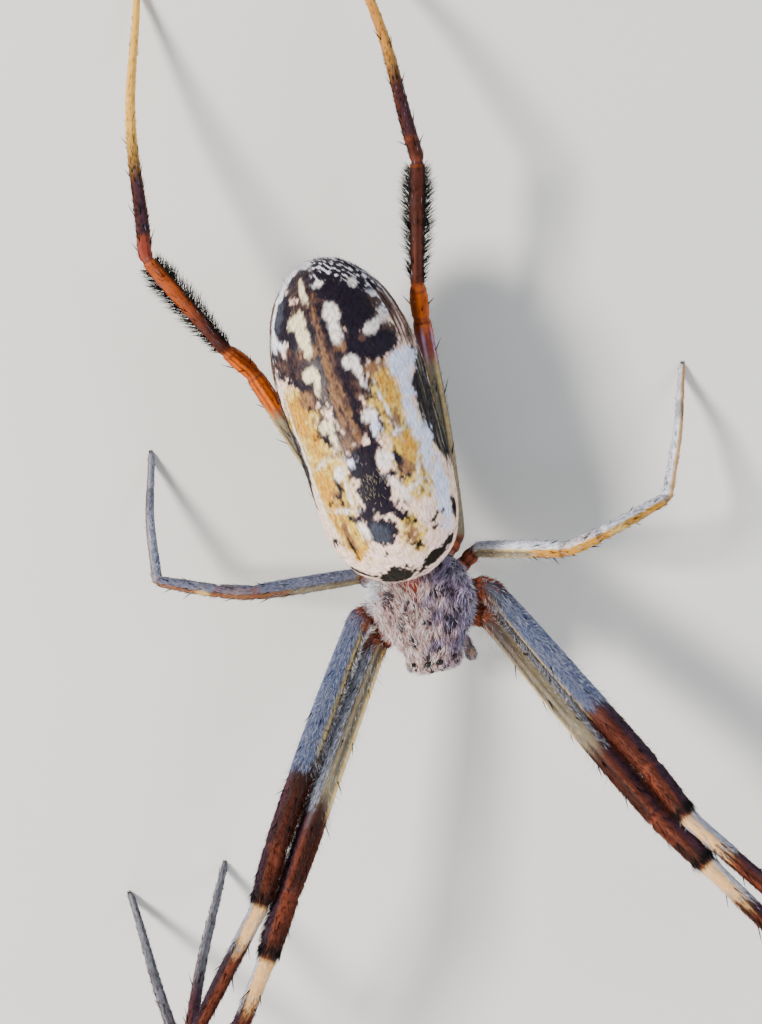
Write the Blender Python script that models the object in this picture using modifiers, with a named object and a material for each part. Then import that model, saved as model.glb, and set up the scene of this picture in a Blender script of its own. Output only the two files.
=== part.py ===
"""A golden orb-weaver spider at life size: an adult female at rest, for a museum shelf.

The animal faces -Y, its left side is +X, and it stands on Z = 0. Two pairs of legs reach
forward with their last joints folded back, the third pair is short and reaches sideways,
and the fourth pair trails behind the abdomen. Every solid reaches the tips of the hair.
"""

import math

import bmesh
import bpy
from mathutils import Matrix, Vector
from mathutils.bvhtree import BVHTree

MM = 0.001
GAP = 0.05 * MM  # left between two pieces that touch

# The body's own centre, between the hips, from the middle of the whole footprint.
BODY_AT = Vector((1.078, -5.041, 0.0)) * MM

# Head and chest, front to back:
# (along Y, half width at the rim, top, rim, half width of the breastplate, bottom)
CHEST = (
    (-7.34, 1.15, 8.28, 7.55, 0.85, 7.20),
    (-6.95, 1.56, 8.70, 7.38, 1.15, 6.96),
    (-5.90, 2.00, 9.00, 7.22, 1.30, 6.86),
    (-5.10, 2.42, 8.86, 7.15, 1.30, 6.62),
    (-4.55, 2.72, 8.70, 7.10, 1.30, 5.66),
    (-3.60, 3.08, 8.46, 7.05, 1.42, 5.26),
    (-2.30, 3.04, 8.28, 7.04, 1.36, 5.26),
    (-1.10, 2.50, 7.94, 7.00, 1.00, 5.52),
    (-0.45, 1.66, 7.52, 6.92, 0.65, 5.86),
)
CHEST_FRONT = (-7.42, 7.85)
CHEST_BACK = (0.02, 6.75)

# Abdomen, front to back along its own axis: (along, half width, top, bottom)
ABDOMEN_ROOT = Vector((0.0, 0.6, 0.0)) * MM
ABDOMEN_YAW = math.radians(5.0)
ABDOMEN = (
    (-2.20, 1.55, 11.25, 8.90),
    (-1.30, 2.95, 12.20, 8.15),
    (0.20, 3.82, 12.85, 7.15),
    (2.30, 4.12, 13.05, 5.95),
    (4.60, 4.20, 13.10, 5.20),
    (7.20, 4.28, 13.15, 4.85),
    (9.70, 4.42, 13.15, 4.75),
    (12.00, 4.28, 12.90, 4.90),
    (14.10, 3.70, 12.30, 5.50),
    (15.70, 2.72, 11.40, 6.35),
    (16.80, 1.40, 10.35, 7.50),
)
ABDOMEN_FRONT = (-2.52, 10.05)
ABDOMEN_BACK = (17.15, 8.90)
RING = 12  # points round each cross-section of the cage

# Each pair of legs: where the coxa starts, where the trochanter starts and where the femur
# starts, each as (out, along Y, up), and the lengths of the femur, the patella, the tibia
# and the metatarsus with its tarsus.
COXAE = {
    1: ((1.92, -4.40, 6.10), (2.75, -4.85, 6.00), (3.40, -5.05, 6.25)),
    2: ((2.08, -3.22, 6.10), (3.20, -3.25, 6.10), (4.00, -3.25, 6.90)),
    3: ((1.98, -2.05, 6.05), (2.90, -1.50, 6.00), (3.60, -1.00, 6.20)),
    4: ((1.44, -0.98, 5.95), (1.95, -0.58, 5.70), (2.50, -0.10, 5.30)),
}
LEG_LENGTHS = {
    1: (15.7, 4.0, 10.1, 17.0),
    2: (14.45, 3.6, 9.55, 14.3),
    3: (6.4, 2.3, 5.5, 9.3),
    4: (13.4, 2.45, 7.15, 19.5),
}
# Which way each length points: (turn from straight ahead towards the animal's side, rise).
# The last one's rise follows from the floor.
LEG_POSES = {
    "1_right": ((30.6, 16.8), (29.7, 12.0), (36.0, -4.8), (157.9, None)),
    "1_left": ((30.5, 16.8), (35.4, 11.4), (32.2, -4.6), (166.6, None)),
    "2_right": ((31.0, 15.8), (26.7, 9.5), (41.0, -1.8), (-169.7, None)),
    "2_left": ((31.2, 15.8), (26.0, 9.6), (35.8, -1.8), (177.2, None)),
    "3_right": ((94.6, 20.2), (105.2, -5.0), (107.3, -35.0), (-179.3, None)),
    "3_left": ((78.5, 25.6), (102.3, 2.5), (106.3, -47.0), (163.5, None)),
    "4_right": ((159.3, 3.0), (150.1, 46.0), (152.4, 3.2), (-175.5, None)),
    "4_left": ((175.6, 3.0), (163.0, 43.0), (166.0, 3.2), (-170.2, None)),
}
# Radius along each length, as (share of the length, radius), for coxa with trochanter,
# femur, patella with tibia, and metatarsus with tarsus. The tibia of the last pair is as
# thick as the brush of bristles round it.
LEG_RADII = {
    1: (
        ((0.0, 0.50), (0.35, 0.60), (0.60, 0.56), (0.8, 0.62), (1.0, 0.58)),
        ((0.0, 0.58), (0.12, 0.66), (0.40, 0.74), (0.75, 0.72), (0.93, 0.66), (1.0, 0.58)),
        ((0.0, 0.56), (0.15, 0.66), (0.28, 0.58), (0.40, 0.60), (0.75, 0.56), (1.0, 0.48)),
        ((0.0, 0.46), (0.14, 0.42), (0.3, 0.39), (0.5, 0.35), (0.7, 0.32), (0.9, 0.29), (1.0, 0.25)),
    ),
    2: (
        ((0.0, 0.50), (0.35, 0.58), (0.60, 0.54), (0.8, 0.60), (1.0, 0.56)),
        ((0.0, 0.56), (0.12, 0.64), (0.40, 0.70), (0.75, 0.68), (0.93, 0.62), (1.0, 0.55)),
        ((0.0, 0.53), (0.15, 0.62), (0.28, 0.55), (0.40, 0.57), (0.75, 0.53), (1.0, 0.46)),
        ((0.0, 0.44), (0.14, 0.40), (0.3, 0.37), (0.5, 0.34), (0.7, 0.31), (0.9, 0.29), (1.0, 0.25)),
    ),
    3: (
        ((0.0, 0.44), (0.35, 0.50), (0.60, 0.46), (0.8, 0.52), (1.0, 0.48)),
        ((0.0, 0.48), (0.20, 0.56), (0.60, 0.56), (0.90, 0.52), (1.0, 0.46)),
        ((0.0, 0.45), (0.15, 0.50), (0.30, 0.44), (0.60, 0.44), (1.0, 0.36)),
        ((0.0, 0.36), (0.12, 0.34), (0.50, 0.32), (0.85, 0.28), (1.0, 0.25)),
    ),
    4: (
        ((0.0, 0.50), (0.35, 0.58), (0.60, 0.54), (0.8, 0.58), (1.0, 0.52)),
        ((0.0, 0.52), (0.12, 0.60), (0.50, 0.64), (0.80, 0.62), (0.93, 0.62), (1.0, 0.54)),
        ((0.0, 0.52), (0.14, 0.62), (0.26, 0.54), (0.38, 0.80), (0.65, 0.98), (0.88, 0.82), (1.0, 0.46)),
        ((0.0, 0.45), (0.1, 0.52), (0.3, 0.45), (0.5, 0.39), (0.7, 0.34), (0.9, 0.30), (1.0, 0.25)),
    ),
}
# How far the middle of each length bows: (out to the animal's side, up).
LEG_BOWS = {
    1: ((0.0, 0.0), (0.0, 0.35), (0.0, 0.10), (0.15, 0.50)),
    2: ((0.0, 0.0), (0.0, 0.30), (0.0, 0.10), (0.10, 0.40)),
    3: ((0.0, 0.0), (0.0, 0.12), (0.0, 0.10), (0.20, 0.20)),
    4: ((0.0, 0.0), (0.10, -0.10), (0.0, 0.0), (0.55, 0.35)),
}
LEG_PARTS = ("coxa", "femur", "tibia", "metatarsus")
LEG_SIDES = (8, 10, 10, 8)
LEG_COLOURS = ("hip", "leg", "leg", "foot")
LEG_BENDS = {1: 0.72 * MM, 2: 0.70 * MM, 3: 0.58 * MM, 4: 0.72 * MM}  # a joint's bend
ARC_STEP = math.radians(28)
LEAD = 0.10 * MM  # how far before its bend a joint is parted
TIP_BELOW = 0.12 * MM  # how far a tarsus runs on before it is cut flat at the floor

# Jaws, fangs, mouthparts and palps, for the left side.
JAW_ROUTE = ((0.72, -6.60, 6.80), (0.73, -6.76, 6.15), (0.68, -6.78, 5.30), (0.56, -6.72, 4.45))
JAW_RADII = ((0.0, 0.54), (0.12, 0.63), (0.40, 0.66), (0.75, 0.56), (0.93, 0.42), (1.0, 0.26))
FANG_ROUTE = ((0.54, -6.68, 4.27), (0.50, -6.40, 3.98), (0.41, -6.02, 4.08), (0.34, -5.78, 4.30))
FANG_RADII = ((0.0, 0.17), (0.5, 0.13), (1.0, 0.06))
HEAD_LIMB_BEND = 0.30 * MM
MOUTH_SIZE = (0.84, 0.42, 0.40)  # half of each side
MOUTH_AT = (0.0, -5.58, 5.95)
PALP_ROUTE = (
    (1.26, -5.55, 5.90),
    (1.62, -5.95, 5.98),
    (1.84, -6.80, 6.00),
    (1.78, -7.05, 5.55),
    (1.46, -6.95, 3.90),
    (1.12, -6.50, 2.60),
)
PALP_RADII = ((0.0, 0.28), (0.12, 0.33), (0.38, 0.31), (0.5, 0.34), (0.75, 0.30), (0.92, 0.28), (1.0, 0.20))

# Eyes: out from the middle, height, radius, and how the line of sight runs to the face.
EYES = {
    "front_middle": dict(out=0.30, up=7.98, radius=0.17, look=(0.10, -1.0, 0.10)),
    "back_middle": dict(out=0.38, up=8.50, radius=0.17, look=(0.15, -0.75, 0.75)),
    "front_side": dict(out=1.16, up=7.78, radius=0.14, look=(0.50, -1.0, 0.0)),
    "back_side": dict(out=1.34, up=8.12, radius=0.14, look=(0.95, -0.65, 0.25)),
}
EYE_PROUD = 0.45  # share of an eye's radius that its centre lies below the surface

# Spinnerets, under the abdomen: (along, up) from inside the belly to the tips, and the belly
# that they are parted from, as a height there and a slope.
SPINNERET_ROUTE = ((12.95, 5.75), (13.25, 4.85), (13.62, 3.85))
SPINNERET_RADII = ((0.0, 0.98), (0.45, 0.98), (0.78, 0.74), (1.0, 0.40))
BELLY_HEIGHT, BELLY_SLOPE = 5.12, math.radians(16.0)

COLOURS = {
    "hair": (0.62, 0.56, 0.58, 1.0),
    "abdomen": (0.72, 0.62, 0.42, 1.0),
    "hip": (0.50, 0.17, 0.06, 1.0),
    "leg": (0.42, 0.24, 0.16, 1.0),
    "foot": (0.24, 0.11, 0.09, 1.0),
    "jaw": (0.05, 0.03, 0.03, 1.0),
    "eye": (0.02, 0.015, 0.01, 1.0),
}


def clear_scene():
    for old in list(bpy.data.objects):
        bpy.data.objects.remove(old, do_unlink=True)


def collection(name):
    made = bpy.data.collections.new(name)
    bpy.context.scene.collection.children.link(made)
    return made


def material(colour, name, roughness=0.5):
    made = bpy.data.materials.new(name)
    made.use_nodes = True
    shader = made.node_tree.nodes["Principled BSDF"]
    shader.inputs["Base Color"].default_value = COLOURS[colour]
    shader.inputs["Roughness"].default_value = roughness
    shader.inputs["Metallic"].default_value = 0.0
    return made


def add_object(name, mesh, group, colour, roughness=0.5):
    made = bpy.data.objects.new(name, mesh)
    group.objects.link(made)
    mesh.materials.clear()
    mesh.materials.append(material(colour, name, roughness))
    mesh.shade_smooth()
    return made


def in_metres(point, side=1.0):
    """A named point in millimetres on the animal's left, as metres on the given side."""
    return Vector((point[0] * side, point[1], point[2])) * MM + BODY_AT


def radius_at(profile, share):
    """Radius in metres at a share of the length, straight between the named ones."""
    for (start, first), (end, last) in zip(profile, profile[1:]):
        if share <= end:
            return (first + (last - first) * max(0.0, share - start) / (end - start)) * MM
    return profile[-1][1] * MM


# ---------------------------------------------------------------- tubes along a bent route


def corner_arc(before, corner, after, bend):
    """Points along the bend that rounds one corner of a route."""
    arriving, leaving = (corner - before).normalized(), (after - corner).normalized()
    turn = arriving.angle(leaving)
    cut = bend * math.tan(turn / 2)
    steps = max(1, round(turn / ARC_STEP))
    start, end = corner - arriving * cut, corner + leaving * cut
    shares = [step / steps for step in range(steps + 1)]
    return [start.lerp(corner, share).lerp(corner.lerp(end, share), share) for share in shares]


def rounded_route(points, bend):
    """The points with each inner corner rounded."""
    route = [points[0]]
    for before, corner, after in zip(points, points[1:], points[2:]):
        route += corner_arc(before, corner, after, bend)
    return [*route, points[-1]]


def with_stations(route, shares):
    """Adds the points of the route that lie at the given shares of its length."""
    lengths = [0.0]
    for before, after in zip(route, route[1:]):
        lengths.append(lengths[-1] + (after - before).length)
    total = lengths[-1]
    placed = [(length / total, point) for length, point in zip(lengths, route)]
    least = 0.25 * MM / total
    for share in shares:
        if all(abs(share - known) > least for known, _ in placed):
            index = next(i for i, (known, _) in enumerate(placed) if known > share)
            (low, first), (high, last) = placed[index - 1], placed[index]
            placed.insert(index, (share, first.lerp(last, (share - low) / (high - low))))
    return placed


def tube_mesh(name, route, profile, sides=8, bow=Vector()):
    """A closed mesh of a POLY curve along the route, bowed in its middle, with its caps welded."""
    placed = with_stations(route, [share for share, _ in profile])
    curve = bpy.data.curves.new(name, "CURVE")
    curve.dimensions = "3D"
    curve.bevel_depth = 2.0 / (1.0 + math.cos(math.pi / sides))  # the flats fall inside the circle
    curve.bevel_resolution = (sides - 4) // 2
    curve.use_fill_caps = True
    spline = curve.splines.new("POLY")
    spline.points.add(len(placed) - 1)
    for control, (share, point) in zip(spline.points, placed):
        control.co = (*(point + bow * (1.0 - math.cos(math.tau * share)) / 2), 1.0)
        control.radius = radius_at(profile, share)
    drawn = bpy.data.objects.new(name, curve)
    bpy.context.scene.collection.objects.link(drawn)
    bpy.context.view_layer.update()
    mesh = bpy.data.meshes.new_from_object(drawn.evaluated_get(bpy.context.evaluated_depsgraph_get()))
    bpy.data.objects.remove(drawn)
    bpy.data.curves.remove(curve)
    shape = bmesh.new()
    shape.from_mesh(mesh)
    bmesh.ops.remove_doubles(shape, verts=shape.verts, dist=0.002 * MM)
    bmesh.ops.recalc_face_normals(shape, faces=shape.faces)
    shape.to_mesh(mesh)
    shape.free()
    return mesh


def cut_flat(mesh, point, normal):
    """Cuts away what lies beyond a plane, and closes the cut with a flat face."""
    shape = bmesh.new()
    shape.from_mesh(mesh)
    everything = shape.verts[:] + shape.edges[:] + shape.faces[:]
    cut = bmesh.ops.bisect_plane(shape, geom=everything, plane_co=point, plane_no=normal, clear_outer=True)
    rim = [item for item in cut["geom_cut"] if isinstance(item, bmesh.types.BMEdge)]
    bmesh.ops.holes_fill(shape, edges=rim)
    bmesh.ops.recalc_face_normals(shape, faces=shape.faces)
    shape.to_mesh(mesh)
    shape.free()


# ---------------------------------------------------------------- soft forms from a cage


def loft_mesh(name, rings, front, back):
    """A closed cage through the rings, ending in a point at each end."""
    shape = bmesh.new()
    loops = [[shape.verts.new(point) for point in ring] for ring in rings]
    for first, second in zip(loops, loops[1:]):
        for index, corner in enumerate(first):
            after = (index + 1) % len(first)
            shape.faces.new((corner, first[after], second[after], second[index]))
    for loop, point in ((loops[0], front), (loops[-1], back)):
        pole = shape.verts.new(point)
        for index, corner in enumerate(loop):
            shape.faces.new((corner, loop[(index + 1) % len(loop)], pole))
    bmesh.ops.recalc_face_normals(shape, faces=shape.faces)
    mesh = bpy.data.meshes.new(name)
    shape.to_mesh(mesh)
    shape.free()
    return mesh


def smooth_cage(made, levels=1):
    modifier = made.modifiers.new("Smooth", "SUBSURF")
    modifier.levels = levels
    modifier.render_levels = levels


def chest_ring(along, rim_half, top, rim, plate_half, bottom):
    """A dome over a rim, with the narrower breastplate below it."""
    right_side = (
        (0.0, top),
        (0.55 * rim_half, top - 0.10 * (top - rim)),
        (0.92 * rim_half, rim + 0.46 * (top - rim)),
        (1.05 * rim_half, rim - 0.02),
        (max(0.88 * rim_half, plate_half), rim - 0.24),
        (plate_half + 0.04, rim - 0.34),
        (plate_half, bottom + 0.14),
        (0.0, bottom - 0.04),
    )
    left_side = [(-out, up) for out, up in reversed(right_side[1:-1])]
    return [in_metres((out, along, up)) for out, up in (*right_side, *left_side)]


def add_chest(group):
    rings = [chest_ring(*station) for station in CHEST]
    front = in_metres((0.0, *CHEST_FRONT))
    back = in_metres((0.0, *CHEST_BACK))
    chest = add_object("head_and_chest", loft_mesh("head_and_chest", rings, front, back), group, "hair")
    smooth_cage(chest)
    return chest


def on_abdomen(along, out, up):
    """A point given along the abdomen's own axis, out from it and up, in metres."""
    turned = Matrix.Rotation(ABDOMEN_YAW, 3, "Z") @ Vector((out, along, up)) * MM
    return turned + ABDOMEN_ROOT + BODY_AT


def abdomen_ring(along, half, top, bottom):
    middle, tall = (top + bottom) / 2, (top - bottom) / 2
    swell = 3.0 / (2.0 + math.cos(2 * math.pi / RING))  # what the smoothing takes off
    angles = [2 * math.pi * (index + 0.5) / RING for index in range(RING)]
    return [
        on_abdomen(along, half * swell * math.sin(angle), middle + tall * swell * math.cos(angle))
        for angle in angles
    ]


def add_abdomen(group):
    rings = [abdomen_ring(*station) for station in ABDOMEN]
    front = on_abdomen(ABDOMEN_FRONT[0], 0.0, ABDOMEN_FRONT[1])
    back = on_abdomen(ABDOMEN_BACK[0], 0.0, ABDOMEN_BACK[1])
    abdomen = add_object("abdomen", loft_mesh("abdomen", rings, front, back), group, "abdomen")
    smooth_cage(abdomen)


def add_waist(group):
    """The pedicel, cut along the slope of the abdomen that it meets."""
    route = [in_metres(point) for point in ((0.0, 0.12, 6.70), (0.0, 0.8, 6.74), (0.0, 2.0, 6.86))]
    mesh = tube_mesh("pedicel", route, ((0.0, 0.34), (0.3, 0.46), (1.0, 0.46)))
    cut_flat(mesh, in_metres((0.0, 0.98, 7.0)), Vector((0.0, 0.50, 0.86)))
    add_object("pedicel", mesh, group, "hip")


def add_spinnerets(group):
    route = [on_abdomen(along, 0.0, up) for along, up in SPINNERET_ROUTE]
    mesh = tube_mesh("spinnerets", route, SPINNERET_RADII, 10)
    belly = on_abdomen(SPINNERET_ROUTE[1][0], 0.0, BELLY_HEIGHT)
    outward = on_abdomen(-math.sin(BELLY_SLOPE), 0.0, math.cos(BELLY_SLOPE)) - on_abdomen(0.0, 0.0, 0.0)
    cut_flat(mesh, belly, outward.normalized())
    add_object("spinnerets", mesh, group, "hip")


# ---------------------------------------------------------------- legs


def heading(turn, rise, side):
    turn, rise = math.radians(turn), math.radians(rise)
    level = math.cos(rise)
    return Vector((side * level * math.sin(turn), -level * math.cos(turn), math.sin(rise)))


def leg_joints(pair, side_name):
    """Where one leg's coxa, trochanter, femur, patella, tibia, metatarsus start, and its foot."""
    side = 1.0 if side_name == "left" else -1.0
    joints = [in_metres(point, side) for point in COXAE[pair]]
    for length, (turn, rise) in zip(LEG_LENGTHS[pair], LEG_POSES[f"{pair}_{side_name}"]):
        if rise is None:
            rise = -math.degrees(math.asin(joints[-1].z / (length * MM)))
        joints.append(joints[-1] + heading(turn, rise, side) * length * MM)
    return joints


def split_route(joints, bend):
    """The leg's rounded route in four lengths, parted square to it where a joint begins to bend."""
    arcs = [corner_arc(*joints[index : index + 3], bend) for index in range(len(joints) - 2)]
    hip, knee, ankle = 1, 2, 4  # the joints where the lengths part, as their places in arcs
    parts = ((None, hip), (hip, knee), (knee, ankle), (ankle, None))
    squares = [(after - before).normalized() for before, after in zip(joints, joints[1:])]
    routes = []
    for start, stop in parts:
        route = [point for arc in arcs[start or 0 : stop] for point in arc]
        if start is None:
            first = joints[0]
        else:
            first = arcs[start][0] - squares[start] * (LEAD - GAP / 2)
        if stop is None:
            last = joints[-1]
        else:
            last = arcs[stop][0] - squares[stop] * (LEAD + GAP / 2)
        routes.append([first, *route, last])
    return routes


def add_leg(group, pair, side_name):
    joints = leg_joints(pair, side_name)
    down = (joints[-1] - joints[-2]).normalized()
    joints[-1] = joints[-1] + down * (TIP_BELOW / abs(down.z))
    routes = split_route(joints, LEG_BENDS[pair])
    outward = 1.0 if side_name == "left" else -1.0
    for index, part in enumerate(LEG_PARTS):
        name = f"{part}_{pair}_{side_name}"
        out, up = LEG_BOWS[pair][index]
        bow = Vector((out * outward, 0.0, up)) * MM
        mesh = tube_mesh(name, routes[index], LEG_RADII[pair][index], LEG_SIDES[index], bow)
        if part == "metatarsus":
            cut_flat(mesh, Vector((0.0, 0.0, 0.0)), Vector((0.0, 0.0, -1.0)))
        add_object(name, mesh, group, LEG_COLOURS[index])


# ---------------------------------------------------------------- head


def add_mouthparts(group):
    shape = bmesh.new()
    bmesh.ops.create_cube(shape, size=2.0)
    bmesh.ops.transform(shape, matrix=Matrix.Diagonal((*MOUTH_SIZE, 1.0)), verts=shape.verts)
    edges = shape.edges[:]
    bmesh.ops.bevel(
        shape, geom=edges, offset=0.3, segments=2, profile=0.5, affect="EDGES", material=-1
    )
    bmesh.ops.transform(shape, matrix=Matrix.Diagonal((MM, MM, MM, 1.0)), verts=shape.verts)
    bmesh.ops.translate(shape, vec=in_metres(MOUTH_AT), verts=shape.verts)
    mesh = bpy.data.meshes.new("mouthparts")
    shape.to_mesh(mesh)
    shape.free()
    add_object("mouthparts", mesh, group, "jaw", 0.4)


def add_head_limbs(group, side_name):
    side = 1.0 if side_name == "left" else -1.0
    for part, route, profile, colour in (
        ("chelicera", JAW_ROUTE, JAW_RADII, "jaw"),
        ("fang", FANG_ROUTE, FANG_RADII, "jaw"),
        ("palp", PALP_ROUTE, PALP_RADII, "leg"),
    ):
        name = f"{part}_{side_name}"
        points = [in_metres(point, side) for point in route]
        mesh = tube_mesh(name, rounded_route(points, HEAD_LIMB_BEND), profile)
        add_object(name, mesh, group, colour, 0.35)


def eye_ball(name, centre, radius):
    shape = bmesh.new()
    bmesh.ops.create_icosphere(shape, subdivisions=2, radius=radius)
    bmesh.ops.translate(shape, vec=centre, verts=shape.verts)
    mesh = bpy.data.meshes.new(name)
    shape.to_mesh(mesh)
    shape.free()
    return mesh


def add_eyes(group, cutters, chest):
    """Eight eyes, each sunk in a socket that is cut from the head."""
    bpy.context.view_layer.update()
    surface = BVHTree.FromObject(chest, bpy.context.evaluated_depsgraph_get())
    for place, eye in EYES.items():
        for side_name, side in (("left", 1.0), ("right", -1.0)):
            look = Vector((eye["look"][0] * side, eye["look"][1], eye["look"][2])).normalized()
            inside = in_metres((eye["out"] * 0.8, -6.6, eye["up"] - 0.35 * eye["look"][2]), side)
            hit = surface.ray_cast(inside + look * 4 * MM, -look)[0]
            radius = eye["radius"] * MM
            centre = hit - look * radius * EYE_PROUD
            name = f"eye_{place}_{side_name}"
            add_object(name, eye_ball(name, centre, radius), group, "eye", 0.1)
            socket = bpy.data.objects.new(f"socket_{name}", eye_ball("socket", centre, radius + GAP))
            cutters.objects.link(socket)
            socket.hide_render = True
            socket.display_type = "WIRE"
            cut = chest.modifiers.new(f"Socket {place} {side_name}", "BOOLEAN")
            cut.operation = "DIFFERENCE"
            cut.object = socket


def build():
    clear_scene()
    group = collection("orb_weaver_spider")
    cutters = collection("cutters")
    cutters.hide_render = True
    chest = add_chest(group)
    add_waist(group)
    add_abdomen(group)
    add_spinnerets(group)
    add_mouthparts(group)
    for side_name in ("left", "right"):
        add_head_limbs(group, side_name)
        for pair in COXAE:
            add_leg(group, pair, side_name)
    add_eyes(group, cutters, chest)


build()
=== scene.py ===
"""The looks of a golden orb-weaver spider at life size: skins, hair, eyes, claws and stage.

The animal faces -Y, its left side is +X and it stands on Z = 0. Each skin lies just inside
the solids and replaces them, and a coat of solid hairs grows from it. Lengths in the tables
are in millimetres from the body's own centre, as the solids' own are.
"""

import math

import bmesh
import bpy
import numpy as np
from bpy.props import FloatProperty, FloatVectorProperty, IntProperty, PointerProperty
from mathutils import Matrix, Vector

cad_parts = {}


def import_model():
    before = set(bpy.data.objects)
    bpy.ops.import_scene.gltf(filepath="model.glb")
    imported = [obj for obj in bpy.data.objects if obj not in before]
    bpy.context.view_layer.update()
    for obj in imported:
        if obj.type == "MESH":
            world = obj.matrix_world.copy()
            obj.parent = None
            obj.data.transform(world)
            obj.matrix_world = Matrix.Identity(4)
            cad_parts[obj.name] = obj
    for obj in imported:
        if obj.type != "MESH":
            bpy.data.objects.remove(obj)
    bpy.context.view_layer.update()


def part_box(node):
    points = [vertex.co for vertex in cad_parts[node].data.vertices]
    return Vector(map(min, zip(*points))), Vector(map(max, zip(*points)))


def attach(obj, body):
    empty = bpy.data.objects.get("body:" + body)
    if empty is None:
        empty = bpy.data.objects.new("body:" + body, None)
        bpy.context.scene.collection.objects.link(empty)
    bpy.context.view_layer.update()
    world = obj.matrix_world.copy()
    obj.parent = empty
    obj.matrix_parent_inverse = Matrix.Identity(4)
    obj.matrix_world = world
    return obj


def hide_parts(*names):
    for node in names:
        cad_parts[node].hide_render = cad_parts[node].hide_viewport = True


bl_info = {
    "name": "Orb-weaver spider",
    "version": (1, 0, 0),
    "blender": (4, 5, 0),
    "location": "3D View > Sidebar > Spider",
    "description": "Skins, hair and stage for a life-size golden orb-weaver spider",
    "category": "Object",
}

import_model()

MM = 0.001
BODY_AT = np.array((1.078, -5.041, 0.0)) * MM  # the body's own centre, between the hips
UNWRAP = "Unwrap"
COAT_UNWRAP = "OFBake"
TUFT_PATCH = 0.003  # of the unwrap, for each hair
MERGE = 0.0002 * MM
LEFT, RIGHT = 1.0, -1.0
SIDES = (("left", LEFT), ("right", RIGHT))

# Head and chest, front to back:
# (along Y, half width at the rim, top, rim, half width of the breastplate, bottom)
CHEST = (
    (-7.34, 1.15, 8.28, 7.55, 0.85, 7.20),
    (-6.95, 1.56, 8.70, 7.38, 1.15, 6.96),
    (-5.90, 2.00, 9.00, 7.22, 1.30, 6.86),
    (-5.10, 2.42, 8.86, 7.15, 1.30, 6.62),
    (-4.55, 2.72, 8.70, 7.10, 1.30, 5.66),
    (-3.60, 3.08, 8.46, 7.05, 1.42, 5.26),
    (-2.30, 3.04, 8.28, 7.04, 1.36, 5.26),
    (-1.10, 2.50, 7.94, 7.00, 1.00, 5.52),
    (-0.45, 1.66, 7.52, 6.92, 0.65, 5.86),
)
CHEST_FRONT = (-7.42, 7.85)
CHEST_BACK = (0.02, 6.75)
FOVEA_AT = (-0.1, -2.75)

# Abdomen, front to back along its own axis: (along, half width, top, bottom)
ABDOMEN_ROOT = np.array((0.0, 0.6, 0.0)) * MM
ABDOMEN_YAW = math.radians(5.0)
ABDOMEN = (
    (-2.20, 1.55, 11.25, 8.90),
    (-1.30, 2.95, 12.20, 8.15),
    (0.20, 3.82, 12.85, 7.15),
    (2.30, 4.12, 13.05, 5.95),
    (4.60, 4.20, 13.10, 5.20),
    (7.20, 4.28, 13.15, 4.85),
    (9.70, 4.42, 13.15, 4.75),
    (12.00, 4.28, 12.90, 4.90),
    (14.10, 3.70, 12.30, 5.50),
    (15.70, 2.72, 11.40, 6.35),
    (16.80, 1.40, 10.35, 7.50),
)
ABDOMEN_FRONT = (-2.52, 10.05)
ABDOMEN_BACK = (17.15, 8.90)
ABDOMEN_RING = 22
ABDOMEN_GIRTH = 4.3  # radius at which an angle round the abdomen is counted in millimetres
ABDOMEN_CAPS = (1.5, 13.5)  # where the rounded ends start
CAP_LENGTHS = (4.0, 3.65)  # of the caps in front of and behind those two places

# Each pair of legs: coxa start, trochanter start and femur start, as (out, along Y, up), and
# the lengths of the femur, the patella, the tibia and the metatarsus with its tarsus.
COXAE = {
    1: ((1.92, -4.40, 6.10), (2.75, -4.85, 6.00), (3.40, -5.05, 6.25)),
    2: ((2.08, -3.22, 6.10), (3.20, -3.25, 6.10), (4.00, -3.25, 6.90)),
    3: ((1.98, -2.05, 6.05), (2.90, -1.50, 6.00), (3.60, -1.00, 6.20)),
    4: ((1.44, -0.98, 5.95), (1.95, -0.58, 5.70), (2.50, -0.10, 5.30)),
}
LEG_LENGTHS = {
    1: (15.7, 4.0, 10.1, 17.0),
    2: (14.45, 3.6, 9.55, 14.3),
    3: (6.4, 2.3, 5.5, 9.3),
    4: (13.4, 2.45, 7.15, 19.5),
}
# Which way each length points: (turn from straight ahead towards the animal's side, rise).
# The last one's rise follows from the floor.
LEG_POSES = {
    (1, RIGHT): ((30.6, 16.8), (29.7, 12.0), (36.0, -4.8), (157.9, None)),
    (1, LEFT): ((30.5, 16.8), (35.4, 11.4), (32.2, -4.6), (166.6, None)),
    (2, RIGHT): ((31.0, 15.8), (26.7, 9.5), (41.0, -1.8), (-169.7, None)),
    (2, LEFT): ((31.2, 15.8), (26.0, 9.6), (35.8, -1.8), (177.2, None)),
    (3, RIGHT): ((94.6, 20.2), (105.2, -5.0), (107.3, -35.0), (-179.3, None)),
    (3, LEFT): ((78.5, 25.6), (102.3, 2.5), (106.3, -47.0), (163.5, None)),
    (4, RIGHT): ((159.3, 3.0), (150.1, 46.0), (152.4, 3.2), (-175.5, None)),
    (4, LEFT): ((175.6, 3.0), (163.0, 43.0), (166.0, 3.2), (-170.2, None)),
}
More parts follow.
